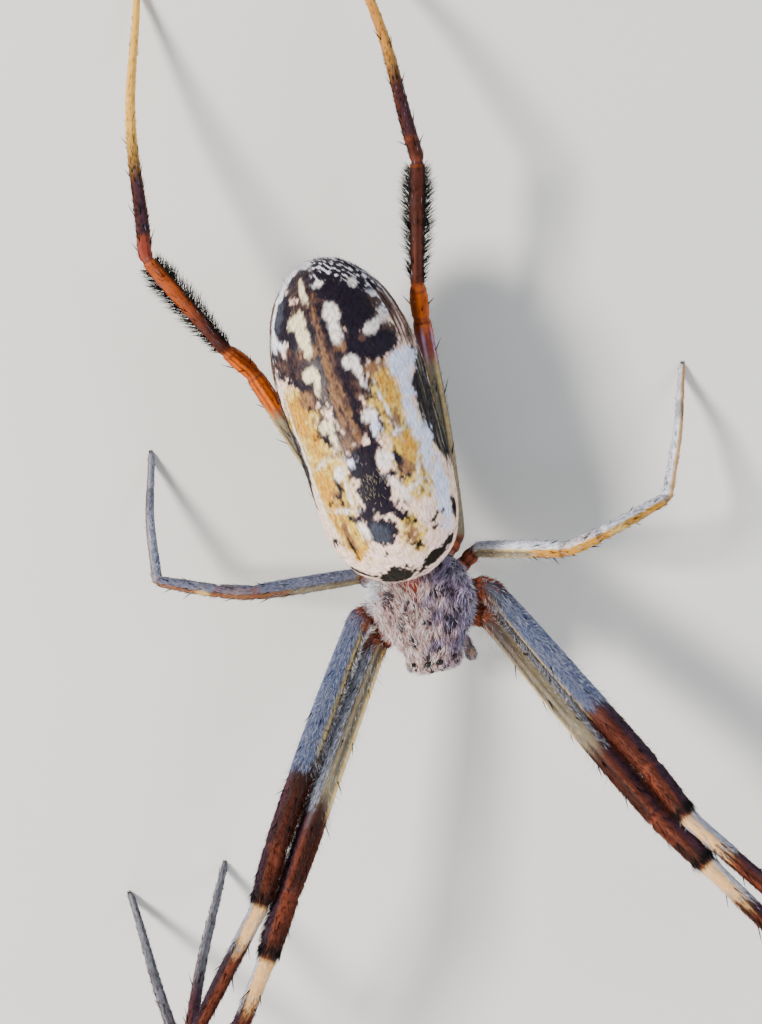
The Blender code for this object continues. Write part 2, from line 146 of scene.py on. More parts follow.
# Radius of the bare leg, as (measure, radius). The measure counts the leg's parts: 0 to 1 is
# the coxa with its trochanter, 1 to 2 the femur, 2 to 3 the patella and the tibia, and 3 to 4
# the metatarsus with its tarsus.
LEG_RADII = {
    1: (
        (0.0, 0.48), (0.35, 0.60), (0.8, 0.61), (1.0, 0.56), (1.12, 0.63), (1.4, 0.71),
        (1.75, 0.73), (1.93, 0.69), (2.0, 0.64), (2.15, 0.67), (2.27, 0.60), (2.32, 0.50),
        (2.75, 0.49), (3.0, 0.42), (3.14, 0.38), (3.3, 0.35), (3.5, 0.31), (3.7, 0.27), (4.0, 0.20),
    ),
    2: (
        (0.0, 0.48), (0.35, 0.59), (0.8, 0.60), (1.0, 0.55), (1.12, 0.61), (1.4, 0.68),
        (1.75, 0.70), (1.93, 0.66), (2.0, 0.62), (2.15, 0.65), (2.25, 0.59), (2.30, 0.49),
        (2.75, 0.46), (3.0, 0.40), (3.14, 0.36), (3.3, 0.33), (3.5, 0.30), (3.7, 0.26), (4.0, 0.20),
    ),
    3: (
        (0.0, 0.40), (0.35, 0.46), (0.8, 0.47), (1.0, 0.42), (1.2, 0.50), (1.6, 0.50),
        (1.9, 0.47), (2.0, 0.41), (2.15, 0.45), (2.3, 0.38), (2.6, 0.39), (3.0, 0.32),
        (3.12, 0.30), (3.5, 0.27), (4.0, 0.20),
    ),
    4: (
        (0.0, 0.44), (0.35, 0.54), (0.8, 0.54), (1.0, 0.47), (1.12, 0.55), (1.5, 0.59),
        (1.8, 0.57), (1.93, 0.57), (2.0, 0.49), (2.14, 0.56), (2.26, 0.42), (2.36, 0.38),
        (2.6, 0.44), (2.85, 0.50), (3.0, 0.40), (3.1, 0.42), (3.3, 0.36), (3.5, 0.31),
        (3.7, 0.27), (4.0, 0.20),
    ),
}
# How far the middle of each part bows: (out to the animal's side, up).
LEG_BOWS = {
    1: ((0.0, 0.0), (0.0, 0.35), (0.0, 0.10), (0.15, 0.50)),
    2: ((0.0, 0.0), (0.0, 0.30), (0.0, 0.10), (0.10, 0.40)),
    3: ((0.0, 0.0), (0.0, 0.12), (0.0, 0.10), (0.20, 0.20)),
    4: ((0.0, 0.0), (0.10, -0.10), (0.0, 0.0), (0.55, 0.35)),
}
LEG_PARTS = ("coxa", "femur", "tibia", "metatarsus")
LEG_BENDS = {1: 0.72, 2: 0.70, 3: 0.58, 4: 0.72}
LEG_STEP = 0.14  # between the rings of a leg's skin
LEG_SIDES = 22
TARSUS_FROM = 0.72  # share of the last part
TROCHANTER_FROM = 0.58  # share of the first part

# Jaws, fangs and palps, for the left side.
JAW_ROUTE = ((0.72, -6.60, 6.80), (0.73, -6.76, 6.15), (0.68, -6.78, 5.30), (0.56, -6.72, 4.45))
JAW_RADII = ((0.0, 0.50), (0.12, 0.60), (0.40, 0.63), (0.75, 0.53), (0.93, 0.40), (1.0, 0.24))
FANG_ROUTE = (
    (0.56, -6.70, 4.55), (0.54, -6.68, 4.27), (0.50, -6.40, 3.98), (0.41, -6.02, 4.08), (0.34, -5.78, 4.30),
)
FANG_RADII = ((0.0, 0.17), (0.3, 0.16), (0.6, 0.11), (0.9, 0.05), (1.0, 0.02))
PALP_ROUTE = (
    (1.20, -5.45, 5.95), (1.62, -5.95, 5.98), (1.84, -6.80, 6.00),
    (1.78, -7.05, 5.55), (1.46, -6.95, 3.90), (1.12, -6.50, 2.60),
)
PALP_RADII = (
    (0.0, 0.24), (0.12, 0.27), (0.22, 0.25), (0.36, 0.28), (0.44, 0.24), (0.52, 0.29),
    (0.60, 0.23), (0.66, 0.26), (0.75, 0.27), (0.79, 0.21), (0.84, 0.24), (0.93, 0.21), (1.0, 0.10),
)
PALP_JOINTS = (0.22, 0.44, 0.60, 0.79)
HEAD_LIMB_BEND = 0.30
MOUTH_AT = (0.0, -5.58, 5.95)

# Eyes: radius, and how the line of sight runs from the face.
EYES = {
    "front_middle": (0.17, (0.10, -1.0, 0.10)),
    "back_middle": (0.17, (0.15, -0.75, 0.75)),
    "front_side": (0.14, (0.50, -1.0, 0.0)),
    "back_side": (0.14, (0.95, -0.65, 0.25)),
}

# The abdomen's markings, painted in this order. Each is a colour, how soft and how ragged its
# edge is, and its patches: (across, along, half across, half along, degrees turned).
MARKINGS = (
    ("silver", 0.50, 0.15, (
        (-4.9, 13.6, 2.4, 2.2, 0), (4.9, 14.4, 2.2, 1.9, 0), (0.0, 16.8, 6.5, 1.9, 0),
    )),
    ("gold", 0.70, 0.30, (
        (-3.2, 8.6, 1.65, 1.7, -8), (-2.85, 6.8, 1.35, 1.8, 8), (-2.8, 4.6, 1.75, 2.0, 0),
        (-2.7, 2.8, 1.55, 1.5, 0), (-2.55, 1.2, 1.15, 1.3, 5), (2.4, 7.9, 1.25, 2.0, -3),
        (2.65, 5.9, 1.1, 1.2, 0), (2.8, 4.5, 1.45, 1.7, 0), (2.9, 2.9, 1.15, 1.2, 0),
        (1.6, 0.45, 0.9, 0.8, 0),
    )),
    ("amber", 0.70, 0.40, (
        (-3.4, 8.6, 0.95, 1.0, -10), (-2.6, 6.8, 0.6, 0.8, 0), (2.75, 8.3, 0.50, 0.9, 0),
        (-3.2, 4.2, 0.7, 1.1, 0), (3.0, 4.7, 0.5, 0.8, 0), (-2.7, 1.0, 0.45, 0.7, 0),
        (-3.0, 2.6, 0.5, 0.5, 0),
    )),
    ("maroon", 0.30, 0.16, (
        (-3.4, 11.5, 1.75, 0.75, -22), (-1.9, 11.3, 1.4, 1.4, 0), (-1.5, 12.9, 1.2, 1.6, 0),
        (0.0, 12.6, 1.3, 2.9, 0), (0.0, 9.0, 1.05, 3.3, 0), (2.6, 11.2, 2.3, 1.2, 5),
        (2.8, 13.2, 1.8, 1.3, 0), (-0.9, 15.2, 2.2, 0.9, -8), (-1.5, 9.7, 0.95, 1.3, 0),
        (1.15, 9.5, 0.75, 1.4, 0), (-1.5, 7.0, 0.78, 0.95, 0), (1.05, 6.8, 0.80, 1.0, 0),
        (-0.1, 4.9, 1.0, 1.0, 0),
    )),
    ("cardiac", 0.40, 0.20, (
        (-0.25, 8.6, 0.44, 2.9, 0), (-0.35, 12.0, 0.28, 2.0, 0), (-1.5, 11.6, 0.7, 0.5, 0),
        (-0.3, 6.3, 1.0, 0.6, 0), (3.3, 13.2, 0.8, 0.5, 0), (3.9, 11.3, 0.4, 0.6, 0),
        (-3.6, 11.6, 0.6, 0.3, -20),
    )),
    ("ochre", 0.25, 0.12, (
        (-0.35, 10.4, 0.20, 2.2, -2), (-0.50, 8.0, 0.16, 1.6, 0), (0.15, 7.0, 0.14, 1.6, 3),
        (-1.0, 11.6, 0.5, 0.35, 20), (0.75, 11.4, 0.4, 0.3, 0), (2.2, 9.7, 0.7, 0.35, 20),
        (-2.55, 3.5, 0.35, 0.30, 0), (2.15, 3.9, 0.38, 0.6, 0), (2.5, 3.6, 0.5, 0.3, 0),
        (-2.8, 1.2, 0.35, 0.7, 0), (1.5, 0.35, 0.5, 0.4, 0), (-2.3, 9.2, 0.5, 0.6, 30),
        (2.5, 6.4, 0.4, 0.6, 0),
    )),
    ("ink", 0.16, 0.14, (
        (2.6, 13.6, 1.25, 1.15, -20), (1.35, 14.5, 1.0, 0.6, 0), (1.95, 12.6, 0.55, 1.3, 0),
        (1.6, 11.0, 0.6, 0.8, 0), (3.5, 10.95, 1.2, 0.65, 15), (2.6, 10.6, 0.8, 0.5, 0),
        (-3.1, 13.85, 1.1, 1.1, -10), (-2.25, 12.75, 0.5, 0.7, 30), (-4.5, 12.25, 1.2, 0.10, -22),
        (-2.6, 10.2, 0.8, 0.25, -25), (-4.1, 11.0, 0.5, 0.3, -25), (-0.75, 10.3, 0.16, 0.9, -3),
        (-0.75, 12.9, 0.16, 0.8, 5), (0.2, 12.9, 0.16, 1.0, 0), (0.45, 9.6, 0.16, 1.6, 3),
        (0.45, 7.4, 0.10, 1.2, 3), (0.1, 5.2, 1.15, 0.55, 10), (-0.1, 4.5, 1.0, 0.8, 0),
        (0.0, 3.0, 1.05, 1.2, 0), (-0.3, 1.95, 1.5, 0.55, 0), (-1.6, 1.85, 0.65, 0.28, -14),
        (1.0, 1.6, 0.55, 0.28, -20), (-0.35, 0.95, 1.0, 0.70, 0), (-2.05, 7.1, 0.10, 0.6, 6),
        (-1.5, 6.75, 0.50, 0.10, -6), (0.85, 5.9, 0.25, 0.35, 0), (1.95, 4.3, 0.16, 0.6, 0),
        (1.15, 3.65, 0.55, 0.22, 10), (2.1, 3.3, 0.35, 0.12, 10), (-2.18, 3.6, 0.10, 0.5, 0),
        (-2.6, 3.3, 0.4, 0.06, 20),
    )),
    ("slate", 0.35, 0.15, (
        (-0.4, 0.85, 0.62, 0.5, 0), (-3.5, 14.1, 0.6, 0.6, 0),
    )),
    ("cream", 0.20, 0.07, (
        (-1.65, 13.50, 0.70, 0.40, 0), (-1.40, 12.7, 0.42, 0.8, 8), (-1.25, 11.9, 0.28, 0.6, 4),
        (-0.95, 14.75, 0.24, 0.6, 28), (-1.50, 10.45, 0.52, 0.42, 0), (-1.25, 9.7, 0.20, 0.7, -6),
        (-1.5, 7.3, 0.52, 0.40, 0), (-1.3, 6.5, 0.19, 0.6, 0), (-0.35, 1.65, 0.2, 0.1, 0),
    )),
    ("chalk", 0.20, 0.07, (
        (0.85, 13.4, 0.55, 0.48, 0), (0.70, 12.5, 0.34, 0.9, 0), (3.25, 12.1, 0.98, 0.27, 22),
        (4.1, 12.55, 0.26, 0.45, -10), (1.05, 10.45, 0.50, 0.38, -10), (1.30, 9.7, 0.20, 0.8, 8),
        (1.15, 7.2, 0.46, 0.38, 0), (1.25, 6.5, 0.22, 0.5, 0), (-1.70, 4.6, 0.42, 0.44, 0),
        (1.20, 4.55, 0.50, 0.52, 0), (-2.4, 2.5, 1.0, 0.12, -14), (-1.55, 3.4, 0.13, 0.7, 0),
        (1.55, 2.8, 0.20, 0.85, 30), (2.6, 2.7, 0.7, 0.15, 18), (-1.45, 1.2, 0.26, 0.42, 20),
        (2.3, 7.2, 0.09, 0.9, 10), (3.1, 3.5, 0.12, 0.8, -20), (2.6, 5.9, 0.5, 0.10, 10),
        (-2.9, 5.4, 0.7, 0.10, 12), (3.4, 14.5, 0.42, 0.22, 10), (0.7, 14.95, 0.4, 0.16, -10),
        (-4.35, 4.8, 0.17, 4.6, 0),
    )),
    # The white band along the animal's left flank, its bluish tone painted shade.
    ("pearl", 0.30, 0.18, (
        (4.05, 9.4, 0.80, 0.9, 20), (3.95, 8.2, 0.45, 1.2, 0), (3.80, 6.4, 0.42, 1.5, 0),
        (4.3, 4.5, 0.48, 1.4, -22), (4.6, 2.2, 0.70, 1.9, 0), (4.8, 9.8, 0.9, 0.6, 0),
        (-0.7, 5.0, 0.3, 0.2, 0), (1.25, 6.5, 0.2, 0.3, 0),
    )),
    ("umber", 0.12, 0.10, (
        (3.70, -0.72, 2.00, 0.42, 21), (-1.4, -1.38, 2.6, 0.55, 0), (-4.4, -0.35, 1.6, 0.18, -24),
        (-4.7, 1.15, 0.45, 0.16, 0), (5.6, 1.1, 0.4, 0.5, 0), (1.45, -0.05, 0.3, 0.12, -10),
        (1.9, -0.05, 0.26, 0.10, 0), (1.3, 0.25, 0.12, 0.10, 0), (2.5, 0.8, 0.35, 0.07, -20),
        (-0.7, -0.15, 0.06, 0.05, 0), (0.5, -0.15, 0.07, 0.05, 0), (3.3, 0.8, 0.45, 0.07, 15),
        (-2.9, 0.8, 0.07, 0.35, 0), (1.85, 0.9, 0.3, 0.06, 10),
    )),
)
FLANK_FROM, FLANK_TO = 4.4, 7.4  # millimetres round from the midline
FLANK_REACH = (3.4, 10.6)  # along the abdomen
BELLY_FROM = 7.6


def linear(*parts):
    """A colour given as display values from 0 to 255, in the linear values that shaders take."""
    shares = [part / 255 for part in parts]
    return tuple(part / 12.92 if part <= 0.04045 else ((part + 0.055) / 1.055) ** 2.4 for part in shares)


def colour_of(name, description, *parts):
    return FloatVectorProperty(
        name=name,
        description=description,
        default=linear(*parts),
        min=0.0,
        max=1.0,
        size=3,
        subtype="COLOR",
    )


def length_of(name, description, millimetres):
    return FloatProperty(
        name=name,
        description=description,
        default=millimetres * MM,
        min=0.0,
        unit="LENGTH",
        subtype="DISTANCE",
        precision=5,
    )


class SpiderColours(bpy.types.PropertyGroup):
    """The finishes of the animal and its stage."""

    ground: colour_of("Ground", "Abdomen between its markings", 250, 210, 196)
    silver: colour_of("Silver", "Rear of the abdomen", 232, 230, 240)
    gold: colour_of("Gold", "Yellow fields of the abdomen", 208, 172, 72)
    amber: colour_of("Amber", "Deepest yellow of the abdomen", 198, 142, 48)
    maroon: colour_of("Maroon", "Brown fields at the abdomen's side", 50, 35, 38)
    cardiac: colour_of("Heart mark", "Streak along the abdomen's middle", 86, 62, 54)
    ochre: colour_of("Ochre", "Fine lines in the heart mark", 128, 92, 62)
    ink: colour_of("Ink", "Blue-black fields of the abdomen", 27, 20, 32)
    cream: colour_of("Cream", "Pale spots in the warm fields", 232, 214, 176)
    chalk: colour_of("Chalk", "Pale spots in the dark fields", 230, 220, 214)
    # Pearl is the white band along the animal's left flank, with a bluish tone that is painted shade.
    pearl: colour_of("Pearl", "Bluish white band along the flank", 220, 224, 246)
    umber: colour_of("Umber", "Dark spots of the front rim", 24, 20, 14)
    flank: colour_of("Flank", "Dark side of the abdomen", 30, 25, 24)
    belly: colour_of("Belly", "Underside of the abdomen", 54, 47, 34)
    shell: colour_of("Shell", "Bare shell of head and chest", 32, 25, 33)
    fovea: colour_of("Fovea", "Bare pit of the chest", 112, 48, 36)
    plate: colour_of("Breastplate", "Middle of the breastplate", 114, 88, 47)
    # Warm down is the chest's hair as lit, on the animal's right. Cool down is that hair in painted shade,
    # darker and bluer, on the animal's left; it is also the palps' hair and a blush on the last legs.
    down_warm_and_lit: colour_of("Warm down", "Hair of head and chest, to the right", 255, 214, 206)
    down_cool_and_shade: colour_of("Cool down", "Hair of head and chest, to the left", 160, 146, 176)
    hip: colour_of("Hip", "Coxae and trochanters", 146, 76, 50)
    olive: colour_of("Olive", "Translucent stretch of the femora", 120, 109, 86)
    rim: colour_of("Rim", "Pale line along the femora", 236, 198, 112)
    slate: colour_of("Slate", "Shell below the silver hair", 56, 60, 71)
    mahogany: colour_of("Mahogany", "Far stretch of the front legs", 70, 32, 22)
    rust: colour_of("Rust", "Lit streaks in the mahogany", 104, 49, 31)
    amber_joint: colour_of("Amber joint", "Knees and ankles", 196, 90, 6)
    band: colour_of("Band", "Pale band below the knee", 212, 164, 104)
    dusk: colour_of("Dusk", "Purple sheen of dark leg parts", 56, 44, 62)
    lilac: colour_of("Lilac", "Cool stretch of the short legs", 100, 106, 132)
    fawn: colour_of("Fawn", "Far end of the last legs", 236, 180, 80)
    frost: colour_of("Frost", "Silver hair of the legs", 236, 238, 248)
    steel: colour_of("Steel", "Blue hair of the legs", 96, 114, 166)
    bristle: colour_of("Bristle", "Black bristles and spines", 15, 16, 15)
    jaw: colour_of("Jaw", "Chelicerae", 26, 19, 19)
    fang: colour_of("Fang", "Fangs and claws", 54, 19, 13)
    eye: colour_of("Eye", "Eyes", 8, 6, 6)
    eye_ring: colour_of("Eye ring", "Rim round each eye", 34, 24, 22)
    floor: colour_of("Floor", "Floor of the stage", 214, 212, 206)


class SpiderSizes(bpy.types.PropertyGroup):
    """How deep the coats are, how long and wide their hairs, and the seed of every draw."""

    chest_depth: length_of("Chest coat", "How far the chest's skin lies inside its coat", 0.26)
    chest_hair: length_of("Chest hair", "Length of a hair of the chest", 0.68)
    chest_hair_width: length_of("Chest hair width", "Width of a hair of the chest", 0.036)
    abdomen_depth: length_of("Abdomen coat", "How far the abdomen's skin lies inside its coat", 0.07)
    abdomen_hair: length_of("Abdomen hair", "Length of a hair of the abdomen", 0.30)
    abdomen_hair_width: length_of("Abdomen hair width", "Width of a hair of the abdomen", 0.019)
    leg_hair: length_of("Leg hair", "Length of a fine hair of the legs", 0.42)
    leg_hair_width: length_of("Leg hair width", "Width of a fine hair of the legs", 0.025)
    bristle: length_of("Bristle", "Length of a bristle of the last pair's brushes", 1.02)
    spine: length_of("Spine", "Length of a leg's spine", 1.05)
    seed: IntProperty(name="Seed", description="Start of the random draws", default=7, min=0)


def sizes():
    return bpy.context.scene.spider_sizes


def paint(name):
    """A named colour as an array."""
    return np.array(getattr(bpy.context.scene.spider_colours, name)[:])


# ---------------------------------------------------------------- numbers along a surface


def at(point, side=LEFT):
    """A named point in millimetres on the animal's left, as metres on the given side."""
    return np.array((point[0] * side, point[1], point[2])) * MM + BODY_AT


def in_body(points):
    """The other way round: points in millimetres from the body's own centre."""
    return (points - BODY_AT) / MM


def ramp(value, start, end):
    """0 before the start, 1 after the end, and smooth between them."""
    share = np.clip((value - start) / (end - start), 0.0, 1.0)
    return share * share * (3.0 - 2.0 * share)


def before(value, start, end):
    """1 before the start, 0 after the end, and smooth between them."""
    return 1.0 - ramp(value, start, end)


def between(value, start, end, soft):
    return ramp(value, start - soft, start + soft) * before(value, end - soft, end + soft)


def bell(value, centre, width):
    """1 at the centre, falling away on both sides of it."""
    return np.exp(-(((value - centre) / width) ** 2))


def oval(across, along, patch):
    """The square of how far out each place lies in a turned oval, which is 1 on its edge."""
    centre_across, centre_along, half_across, half_along, turn = patch
    turn = math.radians(turn)
    right, up = across - centre_across, along - centre_along
    level = right * math.cos(turn) + up * math.sin(turn)
    upright = up * math.cos(turn) - right * math.sin(turn)
    return (level / half_across) ** 2 + (upright / half_along) ** 2


def waves(points, size, seed, count=14):
    """Smooth noise about 0 with swells of about the given size, in the points' own units."""
    rng = np.random.default_rng(seed)
    total = np.zeros(len(points))
    for _ in range(count):
        course = rng.normal(size=points.shape[1])
        course /= np.linalg.norm(course)
        swell = size * rng.uniform(0.7, 1.7)
        total += np.sin(points @ course * (math.tau / swell) + rng.uniform(0.0, math.tau))
    return total * math.sqrt(2.0 / count)


def painted(tint, *layers):
    """A colour, or one for each place, with layers of (colour, mask, brightness) laid over it."""
    tint = paint(tint) if isinstance(tint, str) else tint
    for colour, mask, *bright in layers:
        colour = paint(colour) if isinstance(colour, str) else colour
        for times in bright:
            colour = colour * times
        tint = tint + (colour - tint) * np.asarray(mask)[..., None]
    return tint


def mottled(tint, local, strength, size, seed):
    return tint * (1.0 + strength * waves(local, size, seed))[:, None]


def unit(vectors):
    return vectors / np.maximum(np.linalg.norm(vectors, axis=-1, keepdims=True), 1e-12)


# ---------------------------------------------------------------- skins


def put(name, data):
    """A new object in the scene."""
    made = bpy.data.objects.new(name, data)
    bpy.context.scene.collection.objects.link(made)
    return made


def mesh_of(shape, name):
    """The finished bmesh as a smooth mesh."""
    mesh = bpy.data.meshes.new(name)
    shape.to_mesh(mesh)
    shape.free()
    mesh.shade_smooth()
    return mesh


def close_up(shape):
    """Merges the bmesh's doubles and turns its faces outwards."""
    bmesh.ops.remove_doubles(shape, verts=shape.verts, dist=MERGE)
    bmesh.ops.recalc_face_normals(shape, faces=shape.faces)


def edges_of(ring):
    return list({edge for vertex in ring for edge in vertex.link_edges})


def stand(shape, verts, place, look):
    """Turns what was made facing straight up so that it faces look, and moves it to its place."""
    turn = Vector((0.0, 0.0, 1.0)).rotation_difference(look).to_matrix().to_4x4()
    bmesh.ops.transform(shape, matrix=Matrix.Translation(place) @ turn, verts=verts)


def wrap(name, points, marks=None):
    """A closed skin over rows of points: a grid wrapped round, with its seam and its ends merged.

    Its UV map is the grid's own, and marks holds more values for each point, by name."""
    rows, columns = points.shape[:2]
    shape = bmesh.new()
    shape.loops.layers.uv.new(UNWRAP)
    bmesh.ops.create_grid(shape, x_segments=rows - 1, y_segments=columns - 1, size=1.0, calc_uvs=True)
    layers = {}
    for key, values in (marks or {}).items():
        kinds = shape.verts.layers.float if values.ndim == 2 else shape.verts.layers.float_vector
        layers[kinds.new(key)] = values
    for vertex in shape.verts:
        row = round((vertex.co.x + 1.0) / 2.0 * (rows - 1))
        column = round((vertex.co.y + 1.0) / 2.0 * (columns - 1))
        vertex.co = points[row, column]
        for layer, values in layers.items():
            vertex[layer] = values[row, column]
    close_up(shape)
    return mesh_of(shape, name)


def smoothed(mesh, levels):
    """The mesh with a Subdivision Surface applied."""
    made = put(mesh.name, mesh)
    modifier = made.modifiers.new("Smooth", "SUBSURF")
    modifier.levels = modifier.render_levels = levels
    bpy.context.view_layer.update()
    graph = bpy.context.evaluated_depsgraph_get()
    result = bpy.data.meshes.new_from_object(made.evaluated_get(graph))
    name = mesh.name
    bpy.data.objects.remove(made)
    bpy.data.meshes.remove(mesh)
    result.name = name
    result.shade_smooth()
    return result


def read(items, key, size=1, kind=np.float32):
    """One value of each of a mesh's items as an array."""
    values = np.empty(len(items) * size, kind)
    items.foreach_get(key, values)
    values = values.astype(float) if kind is np.float32 else values
    return values.reshape(-1, size) if size > 1 else values


def read_mark(mesh, name):
    """What each vertex keeps under a mark's name, one number or three."""
    mark = mesh.attributes[name]
    if mark.data_type == "FLOAT_VECTOR":
        return read(mark.data, "vector", 3)
    return read(mark.data, "value")


def points_of(mesh):
    return read(mesh.vertices, "co", 3)


def sink(mesh, depth):
    """Moves each point of a skin inwards, and gives the new points."""
    points = points_of(mesh) - read(mesh.vertices, "normal", 3) * depth[:, None]
    mesh.vertices.foreach_set("co", points.astype(np.float32).ravel())
    mesh.update()
    return points


def set_tint(mesh, tint):
    """Keeps a colour at each vertex, for the material to read."""
    values = np.ones((len(mesh.vertices), 4), np.float32)
    values[:, :3] = np.clip(tint, 0.0, 1.0)
    layer = mesh.color_attributes.new("tint", "FLOAT_COLOR", "POINT")
    layer.data.foreach_set("color", values.ravel())


def add_piece(mesh, material, replaced=()):
    """Puts a finished piece into the scene, under its mesh's name."""
    made = put(mesh.name, mesh)
    mesh.materials.clear()
    mesh.materials.append(material)
    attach(made, "root")
    if replaced:
        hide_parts(*replaced)
    return made


# ---------------------------------------------------------------- hair


class Roots:
    """Where the hairs of one kind start, and the random draws that vary them."""

    def __init__(self, rng, places):
        self.rng, self.places, self.count = rng, places, len(places["co"])
        self.local = in_body(places["co"])

    def __getitem__(self, key):
        return self.places[key]

    def vary(self, low, high):
        return self.rng.uniform(low, high, self.count)

    def shades(self, low, high):
        return self.vary(low, high)[:, None]

    def some(self, share):
        """True for a share of the hairs."""
        return self.rng.random(self.count) < share

    def lie(self, way, wander):
        return way + self.rng.normal(0.0, wander, (self.count, 3))

    def grow(self, way, wander, length, width, lift, tint, shades, fall=0.25):
        """Plain hairs. Length and width are a size with the range of its factor."""
        return hairs(
            self,
            self.lie(way, wander),
            length[0] * self.vary(*length[1:]),
            width[0] * self.vary(*width[1:]),
            self.vary(*lift),
            tint * self.shades(*shades),
            fall,
        )


class Skin:
    """The triangles of a skin, from which the roots of its coat are drawn."""

    def __init__(self, made, marks=()):
        mesh = made.data
        mesh.calc_loop_triangles()
        self.corners = read(mesh.loop_triangles, "vertices", 3, np.int32)
        loops = read(mesh.loop_triangles, "loops", 3, np.int32)
        self.unwrap = read(mesh.uv_layers[UNWRAP].data, "uv", 2)[loops]
        self.values = {key: read(mesh.vertices, key, 3) for key in ("co", "normal")}
        self.values.update((mark, read_mark(mesh, mark)) for mark in marks)
        corner_points = self.values["co"][self.corners]
        edges = corner_points[:, 1:] - corner_points[:, :1]
        self.areas = np.linalg.norm(np.cross(edges[:, 0], edges[:, 1]), axis=1) / 2

    def at(self, chosen, shares):
        """Every value at a place in each of the chosen triangles."""
        found = {"unwrap": np.einsum("nk,nkd->nd", shares, self.unwrap[chosen])}
        for key, values in self.values.items():
            summed = "nk,nk->n" if values.ndim == 1 else "nk,nkd->nd"
            found[key] = np.einsum(summed, shares, values[self.corners[chosen]])
        found["normal"] = unit(found["normal"])
        return found

    def middles(self, chosen=None):
        """Every value at the middle of the chosen triangles, or of all of them."""
        chosen = np.arange(len(self.corners)) if chosen is None else np.array(chosen)
        return self.at(chosen, np.full((len(chosen), 3), 1 / 3))

    def roots(self, rng, count, density=None):
        """Places drawn over the skin, as dense as density says, from 0 to 1."""
        weights = self.areas
        if density:
            weights = weights * np.clip(density(self.middles()), 0.0, None)
        chosen = rng.choice(len(weights), size=count, p=weights / weights.sum())
        first, second = np.sqrt(rng.random(count)), rng.random(count)
        shares = np.stack([1 - first, first * (1 - second), first * second], axis=1)
        return Roots(rng, self.at(chosen, shares))


HAIR_POINTS = 7
HAIR_QUADS = ((0, 1, 4, 3), (1, 2, 5, 4), (2, 0, 3, 5))
HAIR_TRIANGLES = ((3, 4, 6), (4, 5, 6), (5, 3, 6), (2, 1, 0))
HAIR_PATCH = ((-0.5, -0.5), (0.5, -0.5), (0.0, -0.5), (-0.3, 0.1), (0.3, 0.1), (0.0, 0.1), (0.0, 0.5))
HAIR_CORNERS = tuple(math.radians(turn) for turn in (210, 330, 90))
HAIR_TAPER = 0.75  # of its width halfway up
HAIR_SUNK = 0.6  # of half its width below the skin


def hairs(roots, lie, length, width, lift, tint, fall=0.25):
    """Tapered three-sided hairs as (points, tint, unwrap).

    Each leaves its root at lift, as a share of upright, towards lie, and its tip bends back
    down by fall."""
    normal = roots["normal"]
    flat = unit(lie - normal * np.sum(lie * normal, axis=1, keepdims=True))
    out = unit(flat * (1 - lift[:, None]) + normal * lift[:, None])
    bent = unit(out - normal * fall)
    across = unit(np.cross(out, normal + 0.001))
    crown = np.cross(across, out)
    size, half = length[:, None], width[:, None] / 2
    start = roots["co"] - normal * half * HAIR_SUNK
    middle = start + out * size * 0.5
    points = np.empty((len(size), HAIR_POINTS, 3))
    for index, turn in enumerate(HAIR_CORNERS):
        spoke = across * math.cos(turn) + crown * math.sin(turn)
        points[:, index] = start + spoke * half
        points[:, index + 3] = middle + spoke * half * HAIR_TAPER
    points[:, 6] = middle + bent * size * 0.5
    unwrap = roots["unwrap"][:, None] + np.array(HAIR_PATCH) * TUFT_PATCH
    return points, np.repeat(tint[:, None], HAIR_POINTS, axis=1), np.clip(unwrap, 0.0, 1.0)


def coat_mesh(name, batches):
    """One mesh of all the hairs, with its tint and its bake map. No hair reaches below the floor."""
    points, tint, unwrap = (np.concatenate(parts) for parts in zip(*batches))
    points[..., 2] = np.maximum(points[..., 2], 0.0)
    starts = np.arange(len(points))[:, None, None] * HAIR_POINTS
    faces = [(np.array(kind) + starts).reshape(-1, len(kind[0])) for kind in (HAIR_QUADS, HAIR_TRIANGLES)]
    corners = np.concatenate([kind.ravel() for kind in faces])
    lengths = np.concatenate([np.full(len(kind), kind.shape[1]) for kind in faces])
    mesh = bpy.data.meshes.new(name)
    mesh.vertices.add(len(points) * HAIR_POINTS)
    mesh.vertices.foreach_set("co", points.astype(np.float32).ravel())
    mesh.loops.add(len(corners))
    mesh.loops.foreach_set("vertex_index", corners.astype(np.int32))
    mesh.polygons.add(len(lengths))
    mesh.polygons.foreach_set("loop_start", (np.cumsum(lengths) - lengths).astype(np.int32))
    mesh.update(calc_edges=True)
    layer = mesh.uv_layers.new(name=COAT_UNWRAP)
    layer.data.foreach_set("uv", unwrap.reshape(-1, 2)[corners].astype(np.float32).ravel())
    set_tint(mesh, tint.reshape(-1, 3))
    mesh.shade_smooth()
    return mesh


# ---------------------------------------------------------------- materials


